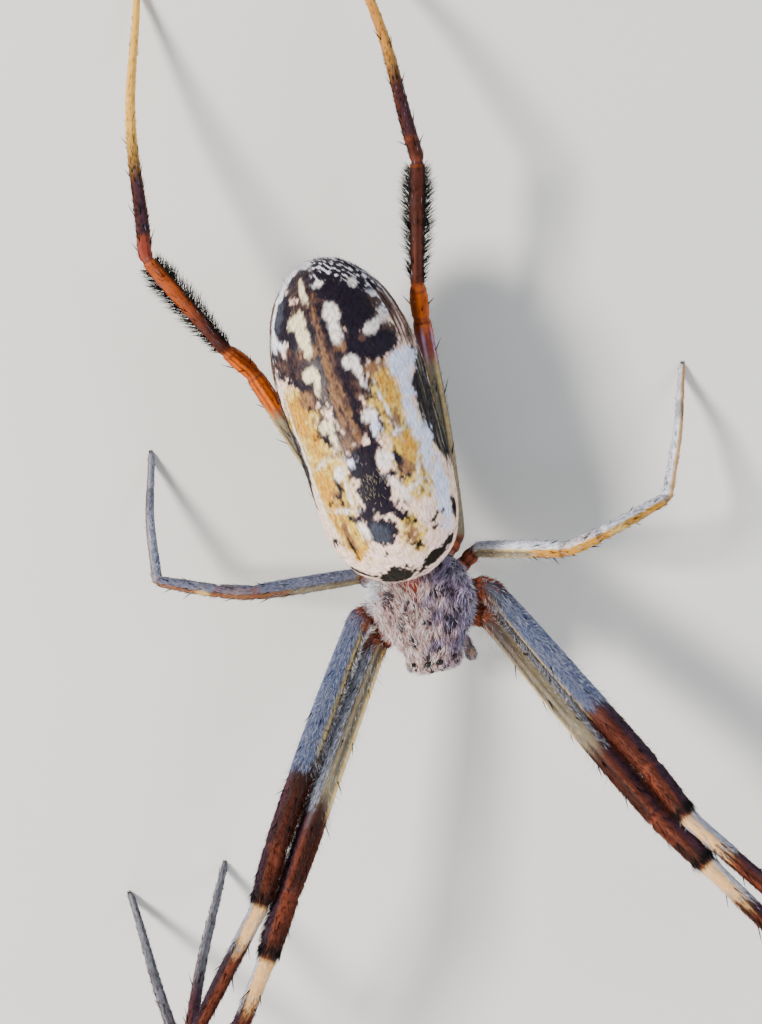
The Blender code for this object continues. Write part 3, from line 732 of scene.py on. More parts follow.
class Finish:
    """A material as it is made: its shader, and the nodes that feed the shader's sockets."""

    def __init__(self, name, **sockets):
        self.made = bpy.data.materials.new(name)
        self.made.use_nodes = True
        self.tree = self.made.node_tree
        self.shader = self.tree.nodes["Principled BSDF"]
        self.feed(self.shader, {key.replace("_", " "): value for key, value in sockets.items()})

    def feed(self, node, inputs):
        """Sets each input to a number or colour, or feeds it with another node's output."""
        for socket, value in inputs.items():
            if isinstance(value, bpy.types.NodeSocket):
                self.tree.links.new(value, node.inputs[socket])
            else:
                node.inputs[socket].default_value = value

    def node(self, kind, result, inputs, **settings):
        """A new node's output."""
        node = self.tree.nodes.new(f"ShaderNode{kind}")
        for key, value in settings.items():
            setattr(node, key, value)
        self.feed(node, inputs)
        return node.outputs[result]

    def noise(self, grain, detail=4.0):
        """Noise on Object coordinates, in swells per millimetre."""
        place = self.node("TexCoord", "Object", {})
        inputs = {"Vector": place, "Scale": grain / MM, "Detail": detail, "Roughness": 0.55}
        return self.node("TexNoise", "Fac", inputs)

    def spread(self, noise, low, high):
        """The middle range of a noise spread over another range."""
        inputs = {"Value": noise, "From Min": 0.3, "From Max": 0.7, "To Min": low, "To Max": high}
        return self.node("MapRange", "Result", inputs)

    def relief(self, noise, strength, millimetres):
        inputs = {"Height": noise, "Strength": strength, "Distance": millimetres * MM}
        self.feed(self.shader, {"Normal": self.node("Bump", "Normal", inputs)})


def tinted_material(
    name, grain, depth, roughness, coat=0.0, relief=0.3, relief_size=0.05, glow=0.0, shine=0.3
):
    """A finish that takes its colour from the tint, with grain, relief and a varying gloss.

    grain is in swells per millimetre, depth is how far it lightens and darkens the tint."""
    finish = Finish(name, Specular_IOR_Level=shine, Coat_Weight=coat, Coat_Roughness=0.2)
    if glow:
        finish.feed(finish.shader, {"Subsurface Weight": glow, "Subsurface Scale": 0.3 * MM})
        finish.feed(finish.shader, {"Subsurface Radius": (1.0, 0.5, 0.3)})
    tint = finish.node("Attribute", "Color", {}, attribute_name="tint")
    strength = finish.spread(finish.noise(grain), 1.0 - depth, 1.0 + depth)
    colour = finish.node("VectorMath", "Vector", {0: tint, "Scale": strength}, operation="SCALE")
    gloss = finish.spread(finish.noise(grain * 0.3), roughness - 0.1, roughness + 0.1)
    finish.feed(finish.shader, {"Base Color": colour, "Roughness": gloss})
    finish.relief(finish.noise(grain * 2.5, detail=5.0), relief, relief_size)
    return finish.made


def plain_finish(name, colour, roughness, grain, depth=0.25, coat=0.0, relief=0.2, shine=0.5):
    """A finish of one colour, mottled by its own darker shade."""
    finish = Finish(
        name, Roughness=roughness, Specular_IOR_Level=shine, Coat_Weight=coat, Coat_Roughness=0.08
    )
    noise = finish.noise(grain)
    darker, lighter = ((*np.clip(paint(colour) * (1.0 + way * depth), 0.0, 1.0), 1.0) for way in (-1, 1))
    inputs = {"A": darker, "B": lighter, "Factor": finish.spread(noise, 0.0, 1.0)}
    mix = finish.node("Mix", "Result", inputs, data_type="RGBA")
    finish.feed(finish.shader, {"Base Color": mix})
    finish.relief(noise, relief, 0.03)
    return finish.made


# ---------------------------------------------------------------- abdomen

DENTS = ((3.6, 1.9), (6.4, 1.9), (9.2, 1.8), (11.9, 1.7))  # the pairs of pits: (along, across)
ABDOMEN_HAIRS, STIFF_HAIRS = 15000, 1100


def turned(turn, vector):
    return np.array(Matrix.Rotation(turn, 3, "Z") @ Vector(vector))


def on_abdomen(along, out, up):
    """A point given along the abdomen's own axis, out from it and up, in metres."""
    return turned(ABDOMEN_YAW, (out, along, up)) * MM + ABDOMEN_ROOT + BODY_AT


def abdomen_places(points):
    """Along the abdomen and round it from the midline of its back, both in millimetres. Each end is
    measured as a cap, by the angle from its rim, so that marks keep their shape round it."""
    local = (points - BODY_AT - ABDOMEN_ROOT) / MM
    local = local @ np.array(Matrix.Rotation(-ABDOMEN_YAW, 3, "Z")).T
    table = np.array(ABDOMEN)
    rim = np.clip(local[:, 1], *ABDOMEN_CAPS)
    half, top, bottom = (np.interp(rim, table[:, 0], table[:, column]) for column in (1, 2, 3))
    middle, tall = (top + bottom) / 2, (top - bottom) / 2
    past = local[:, 1] - rim
    out = np.hypot(local[:, 0], local[:, 2] - middle)
    share = np.arctan2(np.abs(past), out) / (math.pi / 2)
    along = rim + share * np.where(past < 0, -CAP_LENGTHS[0], CAP_LENGTHS[1])
    angle = np.arctan2(local[:, 0] / half, (local[:, 2] - middle) / tall)
    return along, angle * ABDOMEN_GIRTH


def patch_field(across, along, patches):
    """About how far inside the nearest patch each place lies, in millimetres."""
    field = np.full(len(across), -9.0)
    for patch in patches:
        reach = np.sqrt(oval(across, along, patch))
        field = np.maximum(field, (1.0 - reach) * min(patch[2:4]))
    return field


def abdomen_tint(points):
    """The abdomen's markings at each point, for its skin and its coat alike."""
    along, across = abdomen_places(points)
    local = in_body(points)
    places = np.stack([across, along], axis=1)
    ragged = 0.45 * waves(local, 0.9, 11) + 0.4 * waves(local, 0.38, 12) + 0.35 * waves(local, 0.2, 15)
    cells = np.abs(waves(local, 0.85, 13))
    flecks = ramp(waves(local, 0.34, 14), 0.6, 1.5)
    blotch = waves(local, 0.55, 16)
    lines = waves(places * (1.0, 0.16) + (0.0, 0.02) * waves(places, 0.8, 20)[:, None], 0.20, 19)
    tint = painted("ground", ("cream", 0.6 * ramp(blotch, -0.2, 1.2)))
    mottle = {
        "gold": (("cream", 0.45 * before(cells, 0.0, 0.36)), ("ochre", 0.8 * flecks)),
        "maroon": (("cardiac", 0.7 * ramp(blotch, 0.1, 1.2)), ("ink", 0.8 * ramp(-blotch, 0.3, 1.3))),
        "cardiac": (("ink", 0.75 * ramp(-lines, 0.1, 0.8)), ("ochre", 0.8 * ramp(lines, 0.5, 1.1), 1.2)),
    }
    for colour, soft, rough, patches in MARKINGS:
        field = patch_field(across, along, patches) + ragged * rough
        if colour == "gold":
            tint = paint_flanks(tint, along, across, ragged)
        elif colour in ("cream", "chalk"):
            rim = ramp(field, -0.20, -0.06) * ramp(along, 5.4, 5.8) * before(along, 14.0, 14.5)
            tint = painted(tint, ("ink", 0.5 * rim * ramp(blotch, -0.8, 0.4)))
        fill = painted(colour, *mottle.get(colour, ()))
        mask = ramp(field, -soft / 2, soft / 2) * (0.9 if colour == "cardiac" else 1.0)
        tint = painted(tint, (fill, mask))
        if colour == "maroon":
            tint = paint_dashes(tint, places)
    return tint * (1.0 + 0.10 * waves(places * (1.0, 0.3), 0.18, 17) + 0.10 * waves(local, 0.20, 18))[:, None]


def paint_dashes(tint, places):
    """Rows of short white dashes over the black rear on its left, thin dark streaks on its right."""
    across, along = places[:, 0], places[:, 1]
    wander = waves(places, 1.3, 21) * 0.20
    rows = np.cos(math.tau * (along + 0.25 * np.abs(across) + wander) / 0.50)
    breaks = waves(places, 0.42, 22)
    start = 14.35 - 0.7 * ramp(across, 2.8, 4.2) + 0.3 * (across < 0)
    near = ramp(along, start, start + 0.4) * before(np.abs(across), 5.6, 6.8)
    left, right = near * ramp(across, -0.4, 0.6), near * before(across, -0.4, 0.6)
    thin = ramp(np.cos(math.tau * (across + wander) / 0.30) + 0.4 * breaks, 0.5, 0.9)
    return painted(
        tint,
        ("ink", left),
        ("silver", left * ramp(rows + 1.0 * breaks, 0.80, 1.05)),
        ("slate", right * thin * 0.8),
    )


def paint_flanks(tint, along, across, ragged):
    """The dark sides, with pale lengthwise lines, and the belly with its pale spots."""
    far = np.abs(across) + ragged * 0.12
    start = FLANK_FROM + 0.8 * ramp(along, 8.2, 9.2) + 1.4 * before(along, 3.4, 5.4)
    side = ramp(far, start - 0.12, start + 0.12) * before(far, FLANK_TO - 0.2, FLANK_TO + 0.2)
    side = side * between(along + 0.4 * ragged, *FLANK_REACH, 0.4)
    lines = waves(np.stack([across, along * 0.14], axis=1), 0.34, 31)
    rear = between(far, 4.75, 8.0, 0.15) * ramp(along, 10.2, 11.0) * before(along, 14.6, 16.0)
    belly = ramp(far, BELLY_FROM - 0.4, BELLY_FROM + 0.3) * between(along, -1.2, 16.0, 0.8)
    spots = waves(np.stack([across, along], axis=1), 1.5, 33)
    crossing = between(along, 1.0, 1.5, 0.15) + between(along, 9.8, 10.2, 0.15)
    return painted(
        tint,
        ("flank", side),
        ("cream", side * ramp(lines, 1.0, 1.8) * 0.35, 0.5),
        ("ink", side * ramp(-lines, 0.2, 0.7) * 0.8),
        ("silver", 0.3 * side * between(far, 6.40, 6.50, 0.08)),
        ("cardiac", rear * (0.35 + 0.65 * ramp(-lines, -1.3, -0.2)), 1.2),
        ("umber", rear * ramp(-lines, 0.3, 0.9) * 0.9),
        ("belly", belly),
        ("gold", belly * ramp(spots, 0.9, 1.3) * 0.8),
        ("cream", belly * crossing * 0.7),
    )


def make_abdomen():
    angles = [math.tau * (index + 0.5) / ABDOMEN_RING for index in range(ABDOMEN_RING + 1)]
    swell = 3.0 / (2.0 + math.cos(math.tau / ABDOMEN_RING))  # what the smoothing takes off
    rows = []
    for along, half, top, bottom in ABDOMEN:
        middle, tall = (top + bottom) / 2, (top - bottom) / 2
        sides = [(half * swell * math.sin(a), middle + tall * swell * math.cos(a)) for a in angles]
        rows.append([on_abdomen(along, out, up) for out, up in sides])
    ends = [[on_abdomen(along, 0.0, up)] * len(angles) for along, up in (ABDOMEN_FRONT, ABDOMEN_BACK)]
    mesh = smoothed(wrap("abdomen_skin", np.array([ends[0], *rows, ends[1]])), 4)
    points = points_of(mesh)
    along, across = abdomen_places(points)
    folds = waves(np.stack([across, along * 0.12], axis=1), 0.55, 41) * ramp(np.abs(across), 4.0, 5.6)
    dents = np.zeros(len(points))
    for dent_along, dent_across in DENTS:
        dents += np.exp(-((np.abs(across) - dent_across) ** 2 + (along - dent_along) ** 2) / 0.05)
    relief = 0.10 * dents - 0.030 * folds + 0.012 * waves(in_body(points), 1.3, 42)
    points = sink(mesh, sizes().abdomen_depth + MM * relief)
    set_tint(mesh, abdomen_tint(points))
    return mesh


def abdomen_coat(skin):
    """Short flat hairs in the markings' own colours, pale ones over the dark middle of the front,
    and a few long dark ones."""
    rng = np.random.default_rng(sizes().seed + 1)
    surface = Skin(skin)
    back = turned(ABDOMEN_YAW, (0.0, 1.0, 0.0))
    roots = surface.roots(rng, ABDOMEN_HAIRS)
    along, across = abdomen_places(roots["co"])
    tint = abdomen_tint(roots["co"]) * roots.shades(0.6, 1.35)
    middle = np.exp(-((across / 1.1) ** 2 + ((along - 3.5) / 0.8) ** 2))
    fringe = np.exp(-(((across + 0.4) / 1.0) ** 2 + ((along - 0.3) / 0.4) ** 2))
    brown = between(along, 5.0, 12.0, 0.5) * (np.abs(across) < 1.2)
    for colour, share in (("cream", middle), ("rust", 0.8 * fringe), ("ochre", 0.30 * brown)):
        tint = painted(tint, (colour, 0.8 * roots.some(share)))
    length = sizes().abdomen_hair * roots.vary(0.6, 1.25)
    width = sizes().abdomen_hair_width * roots.vary(0.7, 1.2)
    lie = roots.lie(back, 0.35)
    batches = [hairs(roots, lie, length, width, roots.vary(0.06, 0.22), tint)]
    stiff = surface.roots(rng, STIFF_HAIRS)
    length, width = (sizes().abdomen_hair, 1.2, 2.0), (sizes().abdomen_hair_width, 0.6, 0.9)
    batches.append(stiff.grow(back, 0.4, length, width, (0.3, 0.6), paint("bristle"), (0.8, 3.0)))
    return coat_mesh("abdomen_coat", batches)


class SPIDER_OT_abdomen(bpy.types.Operator):
    """Makes the abdomen's skin with its markings, and its short coat"""

    bl_idname = "spider.abdomen"
    bl_label = "Abdomen"

    def execute(self, context):
        shell = tinted_material(
            "abdomen skin", 2.2, 0.10, 0.50, coat=0.04, relief=0.6, relief_size=0.03, shine=0.12
        )
        skin = add_piece(make_abdomen(), shell, ["abdomen"])
        hair = tinted_material("abdomen hair", 3.0, 0.12, 0.5, relief=0.0, shine=0.06)
        add_piece(abdomen_coat(skin), hair)
        return {"FINISHED"}


# ---------------------------------------------------------------- head and chest

BARE_PATCHES = (  # of the chest's coat: (out, along, half out, half along, degrees turned)
    (1.65, -2.9, 0.50, 1.15, 15), (1.40, -4.5, 0.44, 0.7, 0), (-2.0, -2.7, 0.40, 0.55, -20),
    (-1.35, -4.1, 0.36, 0.65, -20), (-0.4, -6.1, 0.35, 0.40, 0), (0.35, -4.2, 0.20, 0.8, 0),
    (2.1, -3.9, 0.25, 0.5, 20), (-0.95, -5.4, 0.18, 0.5, 0), (0.6, -5.9, 0.25, 0.35, 0),
)
CHEST_HAIRS, FRINGE_HAIRS, CORNER_HAIRS = 12500, 1700, 650
CORNER_AT = (-2.8, -2.0)  # of the white tuft


def chest_ring(along, rim_half, top, rim, plate_half, bottom):
    """A dome over a rim, with the narrower breastplate below it, and its first point again."""
    right_side = (
        (0.0, top),
        (0.55 * rim_half, top - 0.10 * (top - rim)),
        (0.92 * rim_half, rim + 0.46 * (top - rim)),
        (1.05 * rim_half, rim - 0.02),
        (max(0.88 * rim_half, plate_half), rim - 0.24),
        (plate_half + 0.04, rim - 0.34),
        (plate_half, bottom + 0.14),
        (0.0, bottom - 0.04),
    )
    left_side = [(-out, up) for out, up in reversed(right_side[1:-1])]
    return [at((out, along, up)) for out, up in (*right_side, *left_side, right_side[0])]


def chest_height(local):
    """How high a point of the chest lies over the rim there, in millimetres."""
    table = np.array(CHEST)
    return local[:, 2] - np.interp(local[:, 1], table[:, 0], table[:, 3])


def thin_places(local):
    """Where the chest's coat is thin and its dark shell shows, from 0 to 1."""
    bare = np.zeros(len(local))
    for patch in BARE_PATCHES:
        bare = np.maximum(bare, np.exp(-oval(local[:, 0], local[:, 1], patch)))
    return np.clip(bare + 0.28 * waves(local, 0.9, 51), 0.0, 1.0)


def fovea_share(local):
    """1 in the bare pit and its V of grooves, 0 away from it."""
    out, along = local[:, 0] - FOVEA_AT[0], local[:, 1] - FOVEA_AT[1]
    wedge = np.abs(out + 0.25) - 0.42 * np.clip(along + 0.45, 0.0, 1.6)
    return before(wedge, 0.0, 0.25) * between(along, -0.35, 1.3, 0.2)


def chest_tint(points):
    local = in_body(points)
    out, along, up = local.T
    height = chest_height(local)
    dome = ramp(height, -0.1, 0.15)
    line = bell((out - 0.2) - 0.5 * (along + 2.6), 0.0, 0.07) * between(along, -3.1, -1.8, 0.1)
    plate = before(height, -0.9, -0.5) * before(np.abs(out), 0.25, 0.8) * between(along, -4.4, -1.0, 0.3)
    return painted(
        "shell",
        ("slate", 0.4 * ramp(waves(local, 0.8, 52), -0.5, 1.0), 0.6),
        ("fovea", fovea_share(local) * dome),
        ("bristle", line * dome),
        ("eye_ring", 0.6 * before(along, -7.25, -6.9) * ramp(up, 7.3, 7.8)),
        ("plate", plate),
    )


def make_chest():
    rows = [chest_ring(*station) for station in CHEST]
    ends = [[at((0.0, *end))] * len(rows[0]) for end in (CHEST_FRONT, CHEST_BACK)]
    mesh = smoothed(wrap("head_and_chest_skin", np.array([ends[0], *rows, ends[1]])), 4)
    local = in_body(points_of(mesh))
    out, along, _ = local.T
    dome = ramp(chest_height(local), 0.0, 0.4)
    pit = np.exp(-((out - FOVEA_AT[0]) ** 2 / 0.10 + (along - FOVEA_AT[1]) ** 2 / 0.45))
    neck = np.exp(-((np.abs(out) + 0.33 * (along + 6.2) - 1.2) ** 2) / 0.03)
    neck *= between(along, -5.4, -3.2, 0.4)
    depth = sizes().chest_depth * (0.35 + 0.65 * dome)
    depth = depth + MM * dome * (0.22 * pit + 0.06 * neck + 0.02 * waves(local, 0.9, 53))
    near_face = before(along, -7.3, -6.8)
    cheeks = before(along, -6.4, -4.6) * np.abs(read(mesh.vertices, "normal", 3)[:, 0])
    sink(mesh, depth * (1.0 - 0.55 * near_face) + 0.14 * MM * cheeks * (1.0 - near_face))
    set_tint(mesh, chest_tint(points_of(mesh)))
    return mesh


def chest_lie(local):
    """Forward and a little towards the midline, in locks that lean to one side or the other."""
    inward = -np.tanh(local[:, 0] / 1.2) * (0.55 + 0.25 * ramp(local[:, 1], -4.5, -2.0))
    inward = inward + 0.30 * waves(local, 0.9, 56) + 0.15 * waves(local, 0.4, 57)
    return np.stack([inward, -np.ones(len(local)), np.zeros(len(local))], axis=1)


def chest_hair_tint(roots):
    """Lit and warm on the animal's right, darker and bluer in painted shade towards its left, each hair of
    its own brightness.
    """
    local = roots.local
    # Painted shade: the hair turns darker and bluer towards the animal's left.
    shaded_side = ramp(local[:, 0] + 0.5 * waves(local, 1.2, 54), -0.4, 1.8)
    tint = painted("down_warm_and_lit", ("down_cool_and_shade", shaded_side))
    tint = tint * (roots.shades(0.20, 1.50) * (1.0 + 0.25 * waves(local, 0.5, 58))[:, None])
    tint = painted(tint, ("frost", 0.6 * roots.some(0.10)))
    return painted(tint, ("fovea", 0.9 * roots.some(0.16), 0.5))


def chest_coat(skin):
    """The dense down, a fringe over the rim, and the white tuft at the right rear corner."""
    rng = np.random.default_rng(sizes().seed + 2)
    surface = Skin(skin)
    hair, fine = sizes().chest_hair, sizes().chest_hair_width

    def dense(found):
        local = in_body(found["co"])
        over = ramp(chest_height(local), -0.25, 0.0)
        fovea = fovea_share(local) * (local[:, 2] > 7.0)
        face = 1.0 - 0.10 * before(local[:, 1], -7.3, -6.9)
        gaps = 0.12 + 0.88 * ramp(waves(local, 0.42, 55), -0.7, 0.6)
        return over * (1.0 - 0.95 * thin_places(local)) * (1.0 - 0.92 * fovea) * face * gaps + 0.02

    roots = surface.roots(rng, CHEST_HAIRS, dense)
    face = before(roots.local[:, 1], -7.3, -6.3)
    length = hair * roots.vary(0.55, 1.15) * (1.0 - 0.50 * thin_places(roots.local)) * (1.0 - 0.42 * face)
    width = fine * roots.vary(0.6, 1.15)
    lie = roots.lie(chest_lie(roots.local), 0.22)
    lift = np.clip(rng.normal(0.24, 0.09, roots.count), 0.05, 0.5)
    batches = [hairs(roots, lie, length, width, lift, chest_hair_tint(roots))]

    fringe = surface.roots(
        rng, FRINGE_HAIRS, lambda found: between(chest_height(in_body(found["co"])), -0.15, 0.45, 0.1)
    )
    level = np.ones(fringe.count)
    outward = np.stack([np.sign(fringe.local[:, 0]), -0.9 * level, 0.1 * level], axis=1)
    length = hair * fringe.vary(0.5, 0.95)
    lie = fringe.lie(outward, 0.3)
    width, lift = fine * fringe.vary(0.6, 1.0), fringe.vary(0.22, 0.42)
    tint = painted(chest_hair_tint(fringe), ("frost", 0.35))
    batches.append(hairs(fringe, lie, length, width, lift, tint))

    def corner(found):
        out, along, _ = in_body(found["co"]).T
        return np.exp(-(((out - CORNER_AT[0]) / 0.5) ** 2 + ((along - CORNER_AT[1]) / 0.7) ** 2))

    tuft = surface.roots(rng, CORNER_HAIRS, corner)
    out, length, width = np.array((-1.0, 0.1, 0.2)), (hair, 0.7, 1.2), (fine, 0.6, 1.0)
    batches.append(tuft.grow(out, 0.4, length, width, (0.25, 0.6), paint("frost"), (0.6, 1.05)))
    return coat_mesh("head_and_chest_coat", batches)


class SPIDER_OT_chest(bpy.types.Operator):
    """Makes the skin of head and chest, and its dense coat"""

    bl_idname = "spider.chest"
    bl_label = "Head and chest"

    def execute(self, context):
        shell = tinted_material("chest shell", 2.5, 0.25, 0.6, coat=0.03, relief=0.4, shine=0.12)
        skin = add_piece(make_chest(), shell, ["head_and_chest"])
        hair = tinted_material("chest hair", 3.0, 0.12, 0.5, relief=0.0, shine=0.15)
        add_piece(chest_coat(skin), hair)
        return {"FINISHED"}


# ---------------------------------------------------------------- limbs along a bent route


def corner_arc(first, corner, last, bend, steps=6):
    """Points along the bend that rounds one corner of a route."""
    arriving, leaving = unit(corner - first), unit(last - corner)
    cut = bend * math.tan(math.acos(np.clip(arriving @ leaving, -1.0, 1.0)) / 2)
    start, end = corner - arriving * cut, corner + leaving * cut
    shares = np.linspace(0.0, 1.0, steps + 1)[:, None]
    arriving, leaving = start + (corner - start) * shares, corner + (end - corner) * shares
    return arriving + (leaving - arriving) * shares


def arcs_of(points, bend):
    return [corner_arc(*points[index : index + 3], bend * MM) for index in range(len(points) - 2)]


def evenly(route, step):
    """The route at even steps along it, with what its fourth column holds, and how far along it
    each place is."""
    lengths = np.linalg.norm(np.diff(route[:, :3], axis=0), axis=1)
    lengths = np.concatenate([[0.0], np.cumsum(lengths)])
    stations = np.linspace(0.0, lengths[-1], max(8, round(lengths[-1] / (step * MM))) + 1)
    return np.stack([np.interp(stations, lengths, column) for column in route.T], axis=1), stations


def softened(points, passes):
    """A route with the last of its corners smoothed away."""
    points = points.copy()
    for _ in range(passes):
        points[1:-1] = (points[:-2] + 2 * points[1:-1] + points[2:]) / 4
    return points


def tube(name, points, radii, side=LEFT, sides=20, towards=(0.0, 0.0, 1.0), ridges=(), **rings):
    """A closed tube round a route, whose first column lies towards the given way.

    ridges holds (height, how many round it, turn). rings holds a value for each ring by name,
    and with it each point keeps its way round the tube and the route's direction."""
    along = unit(np.gradient(points, axis=0))
    upper = unit(towards - along * (along @ towards)[:, None])
    front = np.cross(along, upper) * side
    angles = np.linspace(0.0, math.tau, sides + 1)
    turns = np.stack([np.cos(angles), np.sin(angles), np.zeros(sides + 1)], axis=1)
    spokes = upper[:, None] * turns[:, :1] + front[:, None] * turns[:, 1:2]
    swell = 1.0 + sum(height * np.cos(number * angles + turn) for height, number, turn in ridges)
    padded = np.concatenate([[0], np.arange(len(points)), [len(points) - 1]])
    radii = np.pad(radii, 1)[:, None] * swell
    rows = points[padded][:, None] + spokes[padded] * radii[..., None]
    rows[..., 2] = np.maximum(rows[..., 2], 0.0)
    marks = {}
    if rings:
        rings["lie"] = along
        marks = {key: np.repeat(values[padded][:, None], sides + 1, axis=1) for key, values in rings.items()}
        marks["round"] = np.broadcast_to(turns, rows.shape)
    return wrap(name, rows, marks)


# ---------------------------------------------------------------- legs

FRONT_PAIRS = (1, 2)
# Each joint's place on the measure, or None for the knee, with how deep its groove is.
LEG_JOINTS = (
    (TROCHANTER_FROM, 0.14), (1.0, 0.13), (2.0, 0.10), (None, 0.16), (3.0, 0.20), (3.0 + TARSUS_FROM, 0.10),
)
# A groove and the swellings before and behind it: (height in depths, centre, width).
GROOVE = ((-1.0, 0.0, 0.15), (0.30, -0.34, 0.20), (0.22, 0.36, 0.24))
LEG_RIDGES = ((0.02, 6, 0.5), (0.015, 11, 0.0))  # (height, how many, turn)
LEG_TIP = (0.95, 0.85, 0.65)  # of the radius, at the last three rings
# How far forward round a leg its silver reaches: -1 is its rear side and 1 its front side.
SILVER_TO = {
    (1, LEFT): -0.65, (2, LEFT): 0.55, (3, LEFT): -0.35,
    (1, RIGHT): -0.10, (2, RIGHT): 0.55, (3, RIGHT): -0.05,
}


def heading(turn, rise, side):
    turn, rise = math.radians(turn), math.radians(rise)
    level = math.cos(rise)
    return np.array((side * level * math.sin(turn), -level * math.cos(turn), math.sin(rise)))


def leg_joints(pair, side):
    """Where the coxa, trochanter, femur, patella, tibia and metatarsus start, and the foot."""
    joints = [at(point, side) for point in COXAE[pair]]
    for length, (turn, rise) in zip(LEG_LENGTHS[pair], LEG_POSES[pair, side]):
        if rise is None:
            rise = -math.degrees(math.asin(joints[-1][2] / (length * MM)))
        joints.append(joints[-1] + heading(turn, rise, side) * length * MM)
    return joints


def leg_route(pair, side):
    """The leg's middle line, the measure along it and the distance along it in millimetres."""
    joints = leg_joints(pair, side)
    arcs = arcs_of(joints, LEG_BENDS[pair])
    parts = (
        [joints[0][None], arcs[0], arcs[1][:1]],
        [arcs[1], arcs[2][:1]],
        [arcs[2], arcs[3], arcs[4][:1]],
        [arcs[4], joints[-1][None]],
    )
    rows = []
    for index, (pieces, (out, up)) in enumerate(zip(parts, LEG_BOWS[pair])):
        placed, _ = evenly(np.concatenate(pieces), 0.3)
        share = np.linspace(0.0, 1.0, len(placed))[:, None]
        bow = np.array((out * side, 0.0, up)) * MM * (1.0 - np.cos(math.tau * share)) / 2
        rows.append(np.hstack([placed + bow, index + share])[min(index, 1) :])
    placed, stations = evenly(np.concatenate(rows), LEG_STEP)
    return softened(placed[:, :3], 6), placed[:, 3], stations / MM


def knee_measure(pair):
    """Where the patella meets the tibia."""
    _, patella, tibia, _ = LEG_LENGTHS[pair]
    return 2.0 + patella / (patella + tibia)


def leg_radius(pair, measure, stations):
    """The bare leg's radius, with a groove at each joint between two swellings."""
    radius = np.interp(measure, *np.array(LEG_RADII[pair]).T)
    radius = np.convolve(np.pad(radius, 2, mode="edge"), np.ones(5) / 5, mode="valid")
    for place, depth in LEG_JOINTS:
        distance = stations - np.interp(place or knee_measure(pair), measure, stations)
        for strength, centre, width in GROOVE:
            radius *= 1.0 + strength * depth * bell(distance, centre, width)
    radius[-len(LEG_TIP) :] *= LEG_TIP
    return radius


def streaks(top, fore, station, seed, turns):
    """Lengthwise streaks round a leg, about 0."""
    places = np.stack([top * turns, fore * turns, station * 0.10 + seed], axis=1)
    return waves(places, 1.9, 60 + seed)


def leg_tint(pair, side, measure, station, top, fore):
    """The leg's colours. top and fore say how far up and how far forward round it a place lies."""
    grain = streaks(top, fore, station, pair + (4 if side > 0 else 0), 3.0)
    fine = streaks(top, fore, station, 20 + pair, 8.0)
    tint_of = {1: front_leg_tint, 2: front_leg_tint, 3: short_leg_tint, 4: last_leg_tint}[pair]
    tint = tint_of(pair, side, measure, top, fore, grain, fine)
    _, patella, tibia, foot = LEG_LENGTHS[pair]
    shin = patella + tibia
    for place, length in ((2.0, shin), (knee_measure(pair), shin), (3.0, foot)):
        near = (measure - place) * length
        glow, line = 0.5 * bell(near, 0.0, 0.16), 0.7 * bell(near, -0.22, 0.06)
        tint = painted(tint, ("rust", glow, 1.3), ("shell", line))
    return tint * (1.0 + 0.12 * fine)[:, None]


def hip_tint(measure, grain):
    grooves = bell(measure, TROCHANTER_FROM, 0.05) + bell(measure, 1.0, 0.04)
    return painted(
        "hip",
        # The amber streaks are painted highlights on the glossy hips.
        ("amber_joint", 0.6 * ramp(grain, 0.1, 1.2)),
        ("shell", 0.75 * ramp(-grain, 0.4, 1.2)),
        ("bristle", 0.7 * np.clip(grooves, 0.0, 1.0)),
    )


def front_leg_tint(pair, side, measure, top, fore, grain, fine):
    """Silver and olive femora that end in mahogany, a pale band below the knee, and slate feet."""
    # lit marks streaks of painted highlight: rust over the mahogany, and more frost over the slate feet.
    lit, knee, edge = ramp(grain, -0.2, 1.2), knee_measure(pair), SILVER_TO[pair, side]
    burnt_to, strength = (1.38, 0.8) if side > 0 else (1.20, 0.4)
    femur = painted(
        "olive",
        ("rim", 0.85 * ramp(fore, 0.80, 0.95)),
        ("rim", 0.25 * ramp(grain, 0.5, 1.5)),
        ("slate", before(fore, edge - 0.25, edge + 0.25)),
        ("shell", 0.55 * ramp(-fine, 0.85, 1.4)),
        ("dusk", before(measure, 1.10, burnt_to) * strength * ramp(grain, -1.0, 0.5), 0.6),
    )
    wood = painted(
        "mahogany",
        ("rust", 0.65 * lit),
        ("bristle", 0.75 * ramp(-grain, 0.2, 1.0)),
        # Painted purple sheen along the rear side.
        ("dusk", 0.6 * before(fore, -0.8, -0.2)),
    )
    band = painted("band", ("frost", 0.6 * before(fore, -0.95, -0.5)))
    start, end = 1.66 + 0.04 * grain, knee + 0.24 + 0.025 * grain
    return painted(
        hip_tint(measure, grain),
        (femur, ramp(measure, 1.015, 1.04)),
        (wood, ramp(measure, start - 0.06, start + 0.06)),
        ("rust", 0.5 * between(measure, 1.98, 2.14, 0.03) * ramp(fore, -0.5, 0.2), 1.25),
        ("bristle", 0.45 * between(measure, 2.21, knee + 0.01, 0.03), 2.0),
        (band, ramp(measure, knee + 0.004, knee + 0.03) * before(measure, end - 0.06, end + 0.06)),
        ("dusk", 0.6 * ramp(measure, 3.02, 3.25)),
        (painted("slate", ("frost", 0.12 + 0.12 * lit)), ramp(measure, 3.25, 3.55)),
    )


def rear_share(side, top, fore):
    """1 on the rear side of a leg of the short pair, 0 on its front side."""
    edge = SILVER_TO[3, side]
    return before(fore - 0.2 * top, edge - 0.15, edge + 0.15)


